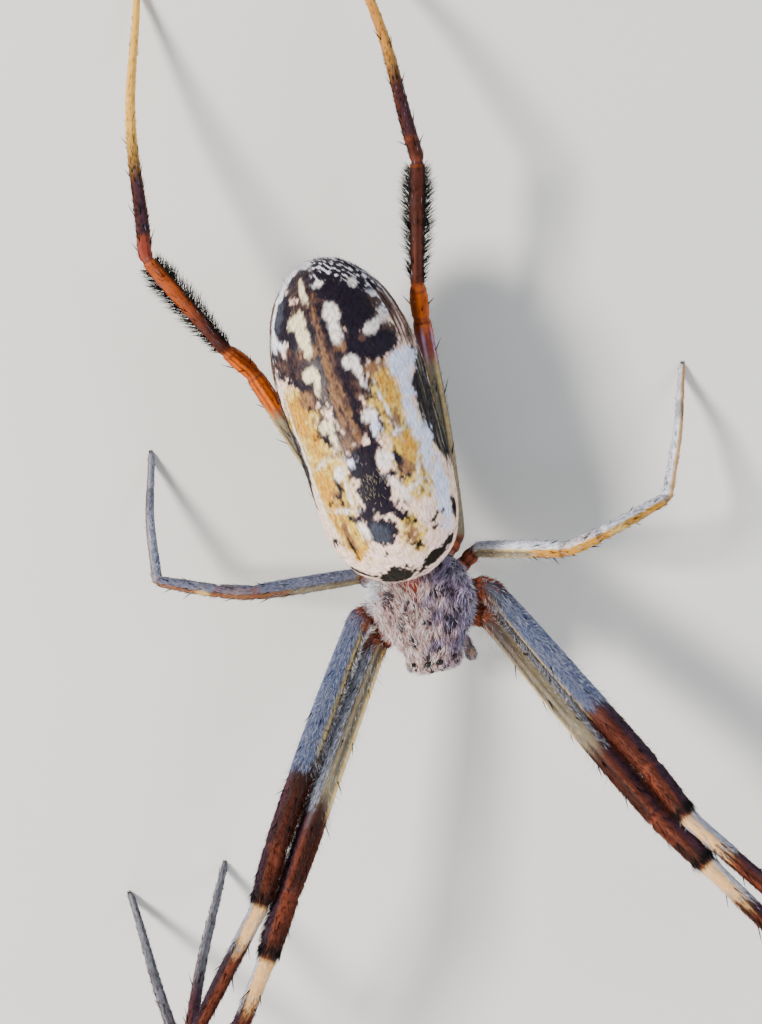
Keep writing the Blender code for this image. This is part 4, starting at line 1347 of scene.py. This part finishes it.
def short_leg_tint(pair, side, measure, top, fore, grain, fine):
    """Cool along the rear side and warm along the front one, darker on the animal's right."""
    left = side > 0
    femur = painted(
        paint("olive") * 1.2, ("rim", 0.5 * ramp(grain, 0.1, 1.2)), ("shell", 0.6 * ramp(-fine, 0.9, 1.4))
    )
    warm = painted(
        "amber" if left else "ochre",
        ("rust" if left else "cardiac", 0.1 + 0.3 * ramp(-grain, -0.4, 0.8)),
        ("amber_joint", 0.2 * ramp(fine, 0.2, 1.0) * (not left)),
    )
    foot = painted(
        "band" if left else painted(paint("band") * 0.7, ("lilac", 0.6)),
        ("frost" if left else painted("lilac", ("frost", 0.5)), ramp(0.35 - fore, -0.2, 0.4)),
        ("dusk", 0.6 * between(measure, 3.58, 3.72, 0.04)),
        ("fovea", 0.35 * ramp(measure, 3.72, 3.8) * left),
    )
    rear = rear_share(side, top, fore) * ramp(measure, 1.03, 1.1)
    tint = painted(
        hip_tint(measure, grain),
        (femur, ramp(measure, 1.015, 1.06)),
        (warm, ramp(measure, 1.60, 1.75) * before(measure, 2.96, 3.0)),
        ("rim", 0.6 * between(measure, 2.36, 2.50, 0.04)),
        ("frost" if left else "lilac", rear * (0.9 - 0.4 * between(measure, 1.95, 2.28, 0.03))),
        (foot, ramp(measure, 2.99, 3.05)),
    )
    return painted(
        tint * (1.0 if left else 0.72), ("mahogany", 0.8 * between(measure, 2.96, 2.99, 0.012))
    )


def last_leg_tint(pair, side, measure, top, fore, grain, fine):
    """Olive femora, orange knees, tibiae dark under their brushes, and feet that fade to fawn."""
    left = side > 0
    femur = painted(
        "olive",
        ("rim", 0.30 * ramp(grain, 0.2, 1.2)),
        ("shell", 0.9 * between(np.abs(fore), 0.80, 0.90, 0.03)),
        ("shell", 0.8 * ramp(-fine, 1.0, 1.5)),
    )
    blush = painted(paint("fovea") * 1.3, ("down_cool_and_shade", 0.7 * ramp(fine, -0.3, 0.8)))
    knee = painted(
        paint("amber_joint") * 1.1,
        ("rust", 0.6 * ramp(grain, 0.4, 1.4)),
        ("mahogany", 0.7 * ramp(-grain, 0.8, 1.4)),
        ("mahogany", 0.5 * left * ramp(fine, -0.6, 0.6)),
    )
    lit = painted("rust", ("amber_joint", 0.32 * ramp(measure, 2.45, 2.75)))
    dark = painted(paint("mahogany") * 0.7, ("rust", 0.5 * ramp(grain, 0.2, 1.4)))
    fade = ramp(measure, 3.25, 3.50)
    foot = painted(
        "mahogany",
        ("dusk", 0.5 * ramp(grain, -0.5, 0.8)),
        ("fawn", fade),
        ("amber_joint", 0.35 * fade * ramp(-grain, 0.0, 1.0)),
        ("rust", 0.5 * fade * left * before(measure, 3.5, 3.8), 1.6),
    )
    start = (1.93 if left else 1.80) + 0.02 * grain
    tibia = between(measure, 2.27, 2.98, 0.02)
    return painted(
        hip_tint(measure, grain),
        (femur, ramp(measure, 1.015, 1.05)),
        (blush, left * ramp(measure, 1.76, 1.86)),
        (knee, ramp(measure, start - 0.03, start + 0.04)),
        (lit, (not left) * tibia),
        (dark, tibia * (1.0 if left else before(measure, 2.35, 2.65))),
        ("bristle", 0.7 * tibia * ramp(np.abs(fore), 0.80, 0.98)),
        ("mahogany" if left else "fovea", between(measure, 2.985, 3.07, 0.012), 1.1 if left else 1.4),
        (foot, ramp(measure, 3.05, 3.09)),
    )


def make_leg(name, pair, side, points, measure, stations):
    radius = leg_radius(pair, measure, stations) * MM
    mesh = tube(
        name, points, radius, side, LEG_SIDES, ridges=LEG_RIDGES, measure=measure, station=stations
    )
    measure, station, way = (read_mark(mesh, key) for key in ("measure", "station", "round"))
    set_tint(mesh, leg_tint(pair, side, measure, station, way[:, 0], way[:, 1]))
    return mesh


# ---------------------------------------------------------------- hair of the legs

# The fine hair of each leg: (how many, how blue, how bright).
DOWN = {
    (1, LEFT): (2800, 0.50, 0.95), (1, RIGHT): (4300, 0.25, 0.95),
    (2, LEFT): (9500, 0.80, 0.95), (2, RIGHT): (9500, 0.80, 0.95),
    (3, LEFT): (6500, 0.00, 1.15), (3, RIGHT): (6500, 0.60, 0.65),
    (4, LEFT): (450, 0.80, 0.95), (4, RIGHT): (450, 0.80, 0.95),
}
FUZZ_HAIRS = {1: 1000, 2: 1100, 3: 350, 4: 300}
BRIDGE_HAIRS = 2100
BRISTLES = {1: 5200, 2: 5000, 3: 420, 4: 1500}
BRISTLE_LENGTH, BRISTLE_WIDTH, BRUSH_WIDTH, SPINE_WIDTH = 0.36 * MM, 0.030 * MM, 0.034 * MM, 0.085 * MM
SPINE_MEASURES = {
    1: (1.22, 1.40, 1.55, 1.72, 1.88, 2.12, 2.45, 2.62, 2.80, 3.15, 3.35),
    2: (1.25, 1.44, 1.60, 1.78, 1.92, 2.14, 2.48, 2.66, 2.84, 3.15, 3.35),
    3: (1.70, 1.88, 2.18, 2.60, 2.85),
    4: (1.38, 1.66, 1.84, 2.10, 2.40, 2.62, 2.84, 3.04, 3.14, 3.28, 3.42),
}
SPINE_TURNS = ((-25, 60), (-65, 20, 80))  # degrees round the leg, at every other place


def leg_roots(surface, rng, count, density, pair, side):
    """Roots on a leg, as dense as one of the functions below says."""

    def dense(found):
        top, fore, _ = found["round"].T
        return density(pair, side, found["measure"], top, fore)

    return surface.roots(rng, count, dense)


def down_density(pair, side, measure, top, fore):
    if pair == 3:
        hip = 0.8 * between(measure, 0.2, 0.95, 0.1) * ramp(top, -0.2, 0.2) * (side < 0)
        joints = 1.0 - (0.7 if side < 0 else 0.4) * between(measure, 1.85, 3.0, 0.05)
        return ramp(measure, 1.02, 1.06) * (0.05 + 0.95 * rear_share(side, top, fore)) * joints + hip
    if pair == 4:
        return 0.3 * between(measure, 1.1, 1.7, 0.1) + 0.1
    knee, edge = knee_measure(pair), SILVER_TO[pair, side] + 0.05 * (pair == 2)
    start, thin = (1.12, 0.72) if side > 0 else (1.04, 0.0)
    rear = before(fore, edge - 0.25, edge + 0.25) * ramp(top, -0.7, -0.2)
    femur = between(measure, start, 1.66, 0.04) * (0.02 + 0.98 * rear)
    femur = femur * (1.0 - thin * before(measure, 1.12, 1.36))
    band = between(measure, knee + 0.02, knee + 0.25, 0.04) * (0.10 + 0.90 * before(fore, -0.9, -0.4))
    return femur + band + 0.5 * between(measure, 0.3, 0.95, 0.1) * (side < 0) * (fore < 0.3)


def fuzz_density(pair, side, measure, top, fore):
    return between(measure, 0.9, 1.75, 0.1) + 0.35 * between(measure, 1.9, 3.4, 0.2)


def bridge_density(pair, side, measure, top, fore):
    facing = fore if pair == 2 else -fore
    hip = 1.3 * between(measure, 0.3, 1.04, 0.05) * ramp(facing, 0.3, 0.6)
    return hip + between(measure, 1.04, 2.24, 0.03) * ramp(facing, 0.75, 0.95)


def bristle_density(pair, side, measure, top, fore):
    if pair == 3:
        return 0.3 * ramp(measure, 1.6, 1.8) * before(measure, 3.1, 3.2) + 0.1
    if pair == 4:
        brush = between(measure, 2.29, 2.965, 0.02) * (0.015 + ramp(np.abs(fore), 0.72, 0.95))
        return 4.0 * brush + 0.5 * between(measure, 3.0, 3.45, 0.1) + 0.10 * ramp(measure, 1.5, 1.7)
    knee = knee_measure(pair)
    fringe = between(measure, knee - 0.060, knee - 0.008, 0.015) * (0.25 + 0.75 * before(fore, -0.6, 0.4))
    cover = ramp(measure, 1.68, 1.80) * (1.0 - between(measure, knee, knee + 0.20, 0.03))
    cover = cover * (0.7 + 0.3 * ramp(np.abs(fore), 0.5, 0.95)) * (1.0 - 0.4 * ramp(measure, 3.0, 3.3))
    return 0.9 * fringe + cover + 0.8 * between(measure, 0.30, 1.06, 0.05)


def leg_down(pair, side, surface, rng):
    """The fine silver hair of the femora, the pale bands and the short pair."""
    count, blue, bright = DOWN[pair, side]
    roots = leg_roots(surface, rng, count, down_density, pair, side)
    measure = roots["measure"]
    share = np.clip(rng.normal(blue, 0.32, count), 0.0, 1.0) * (measure > 1.0)
    share = share * (1.0 - 0.7 * (measure > 2.0) * (pair in FRONT_PAIRS))
    tint = painted("frost", ("steel", share)) * roots.shades(0.42, 1.0) * bright
    if (pair, side) == (3, RIGHT):
        foot = ramp(measure, 2.95, 3.05)
        tint = tint * (1.0 + 0.6 * foot)[:, None]
        tint = painted(tint, ("lilac", 0.75 * roots.some(0.75) * (1.0 - 0.8 * foot)))
    length = sizes().leg_hair * roots.vary(0.55, 1.15) * (0.75 if pair == 3 else 1.0)
    length *= 1.0 - 0.45 * ramp(measure, 3.0, 3.8)
    width = sizes().leg_hair_width * roots.vary(0.6, 1.15)
    lie = roots.lie(roots["lie"], 0.10)
    return hairs(roots, lie, length, width, roots.vary(0.06, 0.20), tint, fall=0.10)


def leg_fuzz(pair, side, surface, rng):
    """Long thin hairs that stand off the legs and blur their edges, pale on the femora."""
    roots = leg_roots(surface, rng, FUZZ_HAIRS[pair], fuzz_density, pair, side)
    measure, knee = roots["measure"], knee_measure(pair)
    length = sizes().leg_hair * roots.vary(1.0, 1.8) * (1.0 if pair in FRONT_PAIRS else 0.7)
    length *= 1.0 - 0.4 * ramp(measure, 1.8, 2.4)
    width = sizes().leg_hair_width * roots.vary(0.45, 0.7)
    tint = paint("frost") * roots.shades(0.45, 1.0)
    if pair != 3:
        band = between(measure, knee, knee + 0.2, 0.02) * (pair in FRONT_PAIRS)
        tint = painted(tint, ("dusk", ramp(measure, 1.62, 1.72) * (1.0 - band), 0.6))
    lie = roots.lie(roots["lie"], 0.18)
    return hairs(roots, lie, length, width, roots.vary(0.35, 0.75), tint, fall=0.15)


def leg_bridge(pair, side, surface, rng):
    """Hairs that close the gap where the first two legs lie side by side, and between their hips."""
    roots = leg_roots(surface, rng, BRIDGE_HAIRS, bridge_density, pair, side)
    measure = roots["measure"]
    hip = measure < 1.06
    tint = painted(
        "olive",
        ("steel", 0.6 * rng.random(roots.count)),
        ("mahogany", ramp(measure, 1.62, 1.70)),
        ("hip", 0.9 * hip, 1.6),
    )
    length = (sizes().leg_hair * (1.0 + 0.4 * hip), 0.7, 1.25)
    width = (sizes().leg_hair_width, 0.8, 1.3)
    return roots.grow(roots["lie"], 0.12, length, width, (0.35, 0.65), tint, (0.25, 0.85), fall=0.10)


def leg_bristles(pair, side, surface, rng):
    """Dark hairs: a fringe at the knee, a brush on the last tibia, and a thin cover elsewhere."""
    roots = leg_roots(surface, rng, BRISTLES[pair], bristle_density, pair, side)
    measure, knee = roots["measure"], knee_measure(pair)
    length = BRISTLE_LENGTH * roots.vary(0.7, 1.2)
    lift = roots.vary(0.15, 0.36)
    width = BRISTLE_WIDTH * roots.vary(0.7, 1.2)
    tint = paint("bristle") * roots.shades(0.6, 3.0)
    if pair in FRONT_PAIRS:
        fringe, hip = between(measure, knee - 0.055, knee, 0.01), measure < 1.1
        wood = painted(
            "mahogany",
            ("rust", rng.random(roots.count)),
            # The same painted purple sheen on the hairs of the rear side.
            ("dusk", 0.8 * (roots["round"][:, 1] < -0.35) * ~hip),
            ("hip", 0.7 * hip),
        )
        tint = painted(tint, (wood, roots.some(0.85) * (1.0 - fringe)))
        lift = np.where(roots.some(0.6), lift * 0.45, lift) * (1.0 + 0.3 * hip)
        length = length * (1.0 + 0.9 * fringe + 0.1 * hip)
    elif pair == 4:
        brush = between(measure, 2.28, 2.97, 0.02) > 0.5
        longest = sizes().bristle * (0.60 + 0.40 * between(measure, 2.42, 2.90, 0.1))
        length = np.where(brush, longest * roots.vary(0.55, 1.1), length)
        lift = np.where(brush, roots.vary(0.38, 0.66), lift)
        width = np.where(brush, BRUSH_WIDTH * roots.vary(0.7, 1.2), width)
    return hairs(roots, roots.lie(roots["lie"], 0.10), length, width, lift, tint, fall=0.05)


def leg_spines(pair, side, surface, rng):
    """Sparse long spines, each a stiff dark spike."""
    middles = surface.middles()
    chosen = []
    for index, place in enumerate(SPINE_MEASURES[pair]):
        for turn in SPINE_TURNS[index % 2]:
            wanted = math.radians(turn + rng.uniform(-12, 12))
            miss = np.abs(middles["measure"] - place - rng.uniform(-0.02, 0.02)) * 8
            aim = (math.cos(wanted), math.sin(wanted))
            chosen.append(np.argmin(miss + np.linalg.norm(middles["round"][:, :2] - aim, axis=1)))
    roots = Roots(rng, surface.middles(chosen))
    length = sizes().spine * roots.vary(0.65, 1.1) * (0.7 if pair == 3 else 1.0)
    width = SPINE_WIDTH * roots.vary(0.8, 1.1)
    tint = paint("bristle") * roots.shades(0.7, 1.6)
    return hairs(roots, roots["lie"], length, width, roots.vary(0.25, 0.50), tint, fall=0.0)


CLAWS = ((-0.07, 0.26), (0.07, 0.26), (0.0, 0.15))  # (sideways, reach)
CLAW_RADIUS, CLAW_HEIGHT, CLAW_DROP = 0.045, 0.09, 0.055  # in millimetres, as their reach is


def middle_of(ring):
    return sum((vertex.co for vertex in ring), Vector()) / len(ring)


def claw_mesh(name, foot, forward):
    """Two hooked claws and the middle one, at the tip of a tarsus."""
    shape = bmesh.new()
    ahead = Vector((*forward[:2], 0.0)).normalized()
    across = Vector((-ahead.y, ahead.x, 0.0))
    for sideways, reach in CLAWS:
        ring = bmesh.ops.create_circle(shape, segments=6, radius=CLAW_RADIUS * MM)["verts"]
        edges = edges_of(ring)
        bmesh.ops.contextual_create(shape, geom=edges)
        base = Vector(foot) + (across * sideways + Vector((0.0, 0.0, CLAW_HEIGHT))) * MM
        stand(shape, ring, base, ahead)
        for share in (0.35, 0.7, 1.0):
            grown = bmesh.ops.extrude_edge_only(shape, edges=edges)["geom"]
            ring = [item for item in grown if isinstance(item, bmesh.types.BMVert)]
            edges = [edge for edge in edges_of(ring) if all(vertex in ring for vertex in edge.verts)]
            middle = middle_of(ring)
            target = base + (ahead * reach * share - Vector((0.0, 0.0, CLAW_DROP * share**2))) * MM
            for vertex in ring:
                vertex.co = target + (vertex.co - middle) * (1.0 - 0.45 * share)
        bmesh.ops.pointmerge(shape, verts=ring, merge_co=middle_of(ring))
    for vertex in shape.verts:
        vertex.co.z = max(vertex.co.z, 0.0)
    bmesh.ops.recalc_face_normals(shape, faces=shape.faces)
    return mesh_of(shape, name)


class SPIDER_OT_legs(bpy.types.Operator):
    """Makes each leg's skin from coxa to tarsus, its hair and bristles, and its claws"""

    bl_idname = "spider.legs"
    bl_label = "Legs"

    def execute(self, context):
        shell = tinted_material("leg shell", 2.4, 0.18, 0.58, relief=0.5, glow=0.03, shine=0.10)
        hair = tinted_material("leg hair", 3.0, 0.12, 0.55, relief=0.0, shine=0.06)
        horn = plain_finish("claw horn", "fang", 0.25, 4.0, coat=0.4)
        for side_name, side in SIDES:
            for pair in COXAE:
                name = f"leg_{pair}_{side_name}"
                replaced = [f"{part}_{pair}_{side_name}" for part in LEG_PARTS]
                route = leg_route(pair, side)
                skin = add_piece(make_leg(f"{name}_skin", pair, side, *route), shell, replaced)
                surface = Skin(skin, ("measure", "round", "lie"))
                rng = np.random.default_rng(sizes().seed + 10 * pair + (side > 0))
                covers = [leg_down, leg_fuzz, leg_bristles, leg_spines]
                covers += [leg_bridge] if pair in FRONT_PAIRS else []
                batches = [cover(pair, side, surface, rng) for cover in covers]
                add_piece(coat_mesh(f"{name}_coat", batches), hair)
                foot = route[0][-1]
                add_piece(claw_mesh(f"{name}_claws", foot, foot - route[0][-6]), horn)
        return {"FINISHED"}


# ---------------------------------------------------------------- jaws, palps and mouth

LOBES = (  # of the mouth, as (centre, half size)
    ((-0.46, 0.0, 0.0), (0.36, 0.38, 0.36)),
    ((0.46, 0.0, 0.0), (0.36, 0.38, 0.36)),
    ((0.0, 0.14, -0.10), (0.22, 0.26, 0.28)),
)


def head_limb(name, route, radii, side, tint, mottle, bend=HEAD_LIMB_BEND, step=0.06):
    """A tapered limb along a rounded route, with its measure from 0 to 1."""
    points = [at(point, side) for point in route]
    placed, _ = evenly(np.vstack([points[0], *arcs_of(points, bend), points[-1]]), step)
    share = np.linspace(0.0, 1.0, len(placed))
    radius = np.interp(share, *np.array(radii).T) * MM
    radius[[0, -1]] *= 0.75
    mesh = tube(name, softened(placed, 4), radius, side, 18, (0.0, -1.0, 0.0), measure=share)
    set_tint(mesh, mottled(tint(read_mark(mesh, "measure")), in_body(points_of(mesh)), *mottle))
    return mesh


def limb_coat(name, skin, rng, count, length, width, colour, shades):
    """Hairs along a limb of the head."""
    roots = Skin(skin, ("lie",)).roots(rng, count)
    length = length * MM * roots.vary(0.6, 1.15)
    tint = paint(colour) * roots.shades(*shades)
    lie = roots.lie(roots["lie"], 0.15)
    width = width * MM * roots.vary(0.7, 1.1)
    return coat_mesh(name, [hairs(roots, lie, length, width, roots.vary(0.2, 0.45), tint)])


def palp_tint(measure):
    joints = [("shell", 0.6 * bell(measure, place, 0.02)) for place in PALP_JOINTS]
    near = 0.4 * between(measure, 0.0, 0.45, 0.08)
    return painted("olive", ("band", near), ("dusk", ramp(measure, 0.5, 0.8)), *joints)


def jaw_tint(measure):
    return painted("jaw", ("mahogany", 0.5 * ramp(measure, 0.8, 1.0)))


def fang_tint(measure):
    return painted("fang", ("bristle", ramp(measure, 0.35, 0.9)))


class SPIDER_OT_jaws(bpy.types.Operator):
    """Makes the chelicerae with their hair, and the fangs"""

    bl_idname = "spider.jaws"
    bl_label = "Jaws and fangs"

    def execute(self, context):
        shell = tinted_material("jaw shell", 3.0, 0.25, 0.20, coat=0.6, relief=0.25)
        hair = tinted_material("jaw hair", 3.0, 0.1, 0.45, relief=0.0)
        rng = np.random.default_rng(sizes().seed + 3)
        for side_name, side in SIDES:
            name, fang = f"chelicera_{side_name}", f"fang_{side_name}"
            mesh = head_limb(f"{name}_skin", JAW_ROUTE, JAW_RADII, side, jaw_tint, (0.2, 0.35, 72))
            skin = add_piece(mesh, shell, [name])
            coat = limb_coat(f"{name}_coat", skin, rng, 420, 0.34, 0.030, "down_warm_and_lit", (0.4, 0.9))
            add_piece(coat, hair)
            look = (fang_tint, (0.2, 0.2, 73))
            mesh = head_limb(f"{fang}_horn", FANG_ROUTE, FANG_RADII, side, *look, bend=0.2, step=0.04)
            add_piece(mesh, shell, [fang])
        return {"FINISHED"}


class SPIDER_OT_palps(bpy.types.Operator):
    """Makes the palps with their bristles"""

    bl_idname = "spider.palps"
    bl_label = "Palps"

    def execute(self, context):
        shell = tinted_material("palp shell", 3.0, 0.15, 0.32, coat=0.3, relief=0.3)
        hair = tinted_material("palp hair", 3.0, 0.1, 0.45, relief=0.0)
        rng = np.random.default_rng(sizes().seed + 4)
        for side_name, side in SIDES:
            name = f"palp_{side_name}"
            mesh = head_limb(f"{name}_skin", PALP_ROUTE, PALP_RADII, side, palp_tint, (0.15, 0.3, 71))
            skin = add_piece(mesh, shell, [name])
            coat = limb_coat(f"{name}_coat", skin, rng, 1500, 0.36, 0.026, "down_cool_and_shade", (0.05, 1.1))
            add_piece(coat, hair)
        return {"FINISHED"}


def mouth_mesh():
    """Two rounded lobes beside a middle lip."""
    shape = bmesh.new()
    for centre, half in LOBES:
        made = bmesh.ops.create_cube(shape, size=2.0)["verts"]
        bmesh.ops.scale(shape, vec=half, verts=made)
        low = [vertex for vertex in made if vertex.co.z < 0]
        bmesh.ops.scale(shape, vec=(0.82, 0.82, 1.0), verts=low)
        bmesh.ops.translate(shape, vec=centre, verts=made)
    bmesh.ops.subdivide_edges(shape, edges=shape.edges, cuts=1, use_grid_fill=True)
    bmesh.ops.scale(shape, vec=(MM, MM, MM), verts=shape.verts)
    bmesh.ops.translate(shape, vec=at(MOUTH_AT), verts=shape.verts)
    return smoothed(mesh_of(shape, "mouthparts_skin"), 3)


class SPIDER_OT_mouth(bpy.types.Operator):
    """Makes the lobes and the lip of the mouth"""

    bl_idname = "spider.mouth"
    bl_label = "Mouthparts"

    def execute(self, context):
        finish = plain_finish("mouth shell", "mahogany", 0.35, 2.0, depth=0.45, coat=0.3)
        add_piece(mouth_mesh(), finish, ["mouthparts"])
        return {"FINISHED"}


# ---------------------------------------------------------------- waist and spinnerets

WAIST_REACH, WAIST_HEIGHT, WAIST_RISE = (-0.25, 1.35), 6.72, 0.10
SPINNERETS = (  # (out, along, up) at the root and at the tip, and the radius at the root
    ((0.42, 12.75, 5.35), (0.34, 13.05, 4.05), 0.36),
    ((0.20, 13.15, 5.35), (0.16, 13.32, 4.35), 0.22),
    ((0.44, 13.45, 5.40), (0.30, 13.62, 3.98), 0.32),
)


class SPIDER_OT_waist(bpy.types.Operator):
    """Makes the narrow waist between chest and abdomen"""

    bl_idname = "spider.waist"
    bl_label = "Waist"

    def execute(self, context):
        stations = np.linspace(*WAIST_REACH, 24)
        points = np.array([at((0.0, along, WAIST_HEIGHT + WAIST_RISE * along)) for along in stations])
        rings = 1.0 + 0.07 * np.cos(stations * 14.0)
        mesh = tube("pedicel_skin", points, (0.33 + 0.09 * ramp(stations, 0.0, 1.0)) * rings * MM)
        set_tint(mesh, paint("maroon"))
        add_piece(mesh, tinted_material("waist skin", 3.0, 0.3, 0.4, coat=0.2), ["pedicel"])
        return {"FINISHED"}


def spinneret_mesh(root, tip, radius, side):
    """A tapering tube with one groove round it and a rounded tip."""
    first, last = (on_abdomen(along, out * side, up) for out, along, up in (root, tip))
    shares = np.linspace(0.0, 1.0, 14)
    radii = radius * MM * (1.0 - 0.45 * shares) * (1.0 - 0.2 * bell(shares, 0.62, 0.07))
    radii[-2:] *= (0.85, 0.6)
    return tube("spinneret", first + (last - first) * shares[:, None], radii, sides=14)


class SPIDER_OT_spinnerets(bpy.types.Operator):
    """Makes the three pairs of spinnerets"""

    bl_idname = "spider.spinnerets"
    bl_label = "Spinnerets"

    def execute(self, context):
        finish = tinted_material("spinneret skin", 3.5, 0.25, 0.4, coat=0.2)
        shape = bmesh.new()
        for _, side in SIDES:
            for spinneret in SPINNERETS:
                part = spinneret_mesh(*spinneret, side)
                shape.from_mesh(part)
                bpy.data.meshes.remove(part)
        mesh = mesh_of(shape, "spinnerets_skin")
        local = in_body(points_of(mesh))
        tint = painted("maroon", ("bristle", before(local[:, 2], 4.0, 4.9)))
        set_tint(mesh, mottled(tint, local, 0.2, 0.3, 81))
        add_piece(mesh, finish, ["spinnerets"])
        return {"FINISHED"}


# ---------------------------------------------------------------- eyes


def lens_mesh(name, centre, radius, look):
    """An eye's clear dome: a ball whose poles lie along its line of sight."""
    shape = bmesh.new()
    bmesh.ops.create_uvsphere(shape, u_segments=28, v_segments=18, radius=radius * 0.98)
    stand(shape, shape.verts, centre, look)
    return mesh_of(shape, name)


def rim_mesh(name, centre, radius, look):
    """The swollen rim that an eye sits in."""
    shape = bmesh.new()
    ring = bmesh.ops.create_circle(shape, segments=10, radius=radius * 0.26)["verts"]
    bmesh.ops.rotate(shape, verts=ring, cent=(0, 0, 0), matrix=Matrix.Rotation(math.pi / 2, 3, "X"))
    bmesh.ops.translate(shape, vec=(radius * 1.02, 0.0, 0.0), verts=ring)
    geom, up = ring + edges_of(ring), (0, 0, 1)
    bmesh.ops.spin(shape, geom=geom, cent=(0, 0, 0), axis=up, angle=math.tau, steps=28, use_merge=True)
    close_up(shape)
    stand(shape, shape.verts, centre + look * radius * 0.12, look)
    return mesh_of(shape, name)


class SPIDER_OT_eyes(bpy.types.Operator):
    """Makes the eight eyes and their rims"""

    bl_idname = "spider.eyes"
    bl_label = "Eyes"

    def execute(self, context):
        clear = plain_finish("eye", "eye", 0.08, 5.0, depth=0.3, coat=0.15, relief=0.0, shine=0.25)
        rim = plain_finish("eye rim", "eye_ring", 0.6, 5.0, depth=0.3, shine=0.15)
        for place, (radius, (out, ahead, up)) in EYES.items():
            for side_name, side in SIDES:
                name = f"eye_{place}_{side_name}"
                low, high = map(Vector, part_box(name))
                eye = ((low + high) / 2, radius * MM, Vector((out * side, ahead, up)).normalized())
                add_piece(lens_mesh(f"{name}_lens", *eye), clear, [name])
                add_piece(rim_mesh(f"{name}_rim", *eye), rim)
        return {"FINISHED"}


# ---------------------------------------------------------------- stage

FLOOR_HALF = 0.6  # in metres
LIGHTS = (  # name, place and size in metres, power, colour
    ("key", (-0.24, 0.06, 0.30), 0.10, 3.0, (1.0, 0.96, 0.90)),
    ("fill", (0.28, -0.05, 0.22), 0.22, 0.8, (0.80, 0.88, 1.0)),
    ("front", (-0.05, -0.30, 0.16), 0.20, 0.6, (1.0, 0.96, 0.92)),
)
LIGHTS_AIM = (0.0, 0.0, 8.0)
SKY, SKY_STRENGTH = (0.84, 0.90, 1.0, 1.0), 0.42
VIEW_LEAN = math.radians(11.0)  # the camera leans to the animal's left
VIEW_TURN = math.radians(13.2)  # and the animal's tail is turned in the view
VIEW_HEIGHT = 7.5  # of the point that the view is set from
VIEW_DISTANCE = 160.0
VIEW_OFF = (1.684, 2.076)  # how far the view's middle lies to the left of that point, and above it
LENS, SENSOR = 96.2, 36.0
NEAREST = 0.005  # that the camera sees, in metres


class SPIDER_OT_stage(bpy.types.Operator):
    """Makes the floor, the soft light and the camera"""

    bl_idname = "spider.stage"
    bl_label = "Stage"

    def execute(self, context):
        self.add_floor()
        self.add_lights()
        self.add_camera()
        return {"FINISHED"}

    def add_floor(self):
        shape = bmesh.new()
        bmesh.ops.create_grid(shape, x_segments=1, y_segments=1, size=FLOOR_HALF)
        mesh = mesh_of(shape, "floor")
        mesh.materials.append(plain_finish("floor", "floor", 0.7, 0.02, depth=0.02, relief=0.0))
        put("floor", mesh)

    def add_lights(self):
        world = bpy.data.worlds.new("studio")
        world.use_nodes = True
        background = world.node_tree.nodes["Background"]
        background.inputs["Color"].default_value = SKY
        background.inputs["Strength"].default_value = SKY_STRENGTH
        bpy.context.scene.world = world
        for name, place, size, power, colour in LIGHTS:
            light = bpy.data.lights.new(name, "AREA")
            light.size, light.energy, light.color = size, power, colour
            made = put(name, light)
            made.location = place
            aim = Vector(at(LIGHTS_AIM)) - Vector(place)
            made.rotation_euler = aim.to_track_quat("-Z", "Y").to_euler()

    def add_camera(self):
        level = Vector((math.cos(VIEW_LEAN), 0.0, -math.sin(VIEW_LEAN)))
        ahead = Vector((0.0, 1.0, 0.0))
        back = Vector((math.sin(VIEW_LEAN), 0.0, math.cos(VIEW_LEAN)))
        right = level * math.cos(VIEW_TURN) - ahead * math.sin(VIEW_TURN)
        up = ahead * math.cos(VIEW_TURN) + level * math.sin(VIEW_TURN)
        point = Vector(at((0.0, 0.0, VIEW_HEIGHT)))
        place = point + (back * VIEW_DISTANCE - right * VIEW_OFF[0] + up * VIEW_OFF[1]) * MM
        camera = bpy.data.cameras.new("camera")
        camera.sensor_fit, camera.sensor_height = "VERTICAL", SENSOR
        camera.lens, camera.clip_start = LENS, NEAREST
        made = put("camera", camera)
        axes = Matrix((right, up, back)).transposed().to_4x4()
        made.matrix_world = Matrix.Translation(place) @ axes
        bpy.context.scene.camera = made


class SPIDER_PT_panel(bpy.types.Panel):
    """Lists the spider's pieces"""

    bl_label = "Orb-weaver spider"
    bl_idname = "SPIDER_PT_panel"
    bl_space_type = "VIEW_3D"
    bl_region_type = "UI"
    bl_category = "Spider"

    def draw(self, context):
        for operator in OPERATORS:
            self.layout.operator(operator.bl_idname)
        for group in (context.scene.spider_sizes, context.scene.spider_colours):
            column = self.layout.column(align=True)
            for key in group.__annotations__:
                column.prop(group, key)


OPERATORS = (
    SPIDER_OT_stage,
    SPIDER_OT_chest,
    SPIDER_OT_abdomen,
    SPIDER_OT_waist,
    SPIDER_OT_spinnerets,
    SPIDER_OT_legs,
    SPIDER_OT_jaws,
    SPIDER_OT_palps,
    SPIDER_OT_mouth,
    SPIDER_OT_eyes,
)
CLASSES = (SpiderColours, SpiderSizes, *OPERATORS, SPIDER_PT_panel)


def register():
    for kind in CLASSES:
        bpy.utils.register_class(kind)
    bpy.types.Scene.spider_colours = PointerProperty(type=SpiderColours)
    bpy.types.Scene.spider_sizes = PointerProperty(type=SpiderSizes)


def unregister():
    del bpy.types.Scene.spider_sizes
    del bpy.types.Scene.spider_colours
    for kind in reversed(CLASSES):
        bpy.utils.unregister_class(kind)


def main():
    register()
    for operator in OPERATORS:
        group, name = operator.bl_idname.split(".")
        getattr(getattr(bpy.ops, group), name)()


if __name__ == "__main__":
    main()
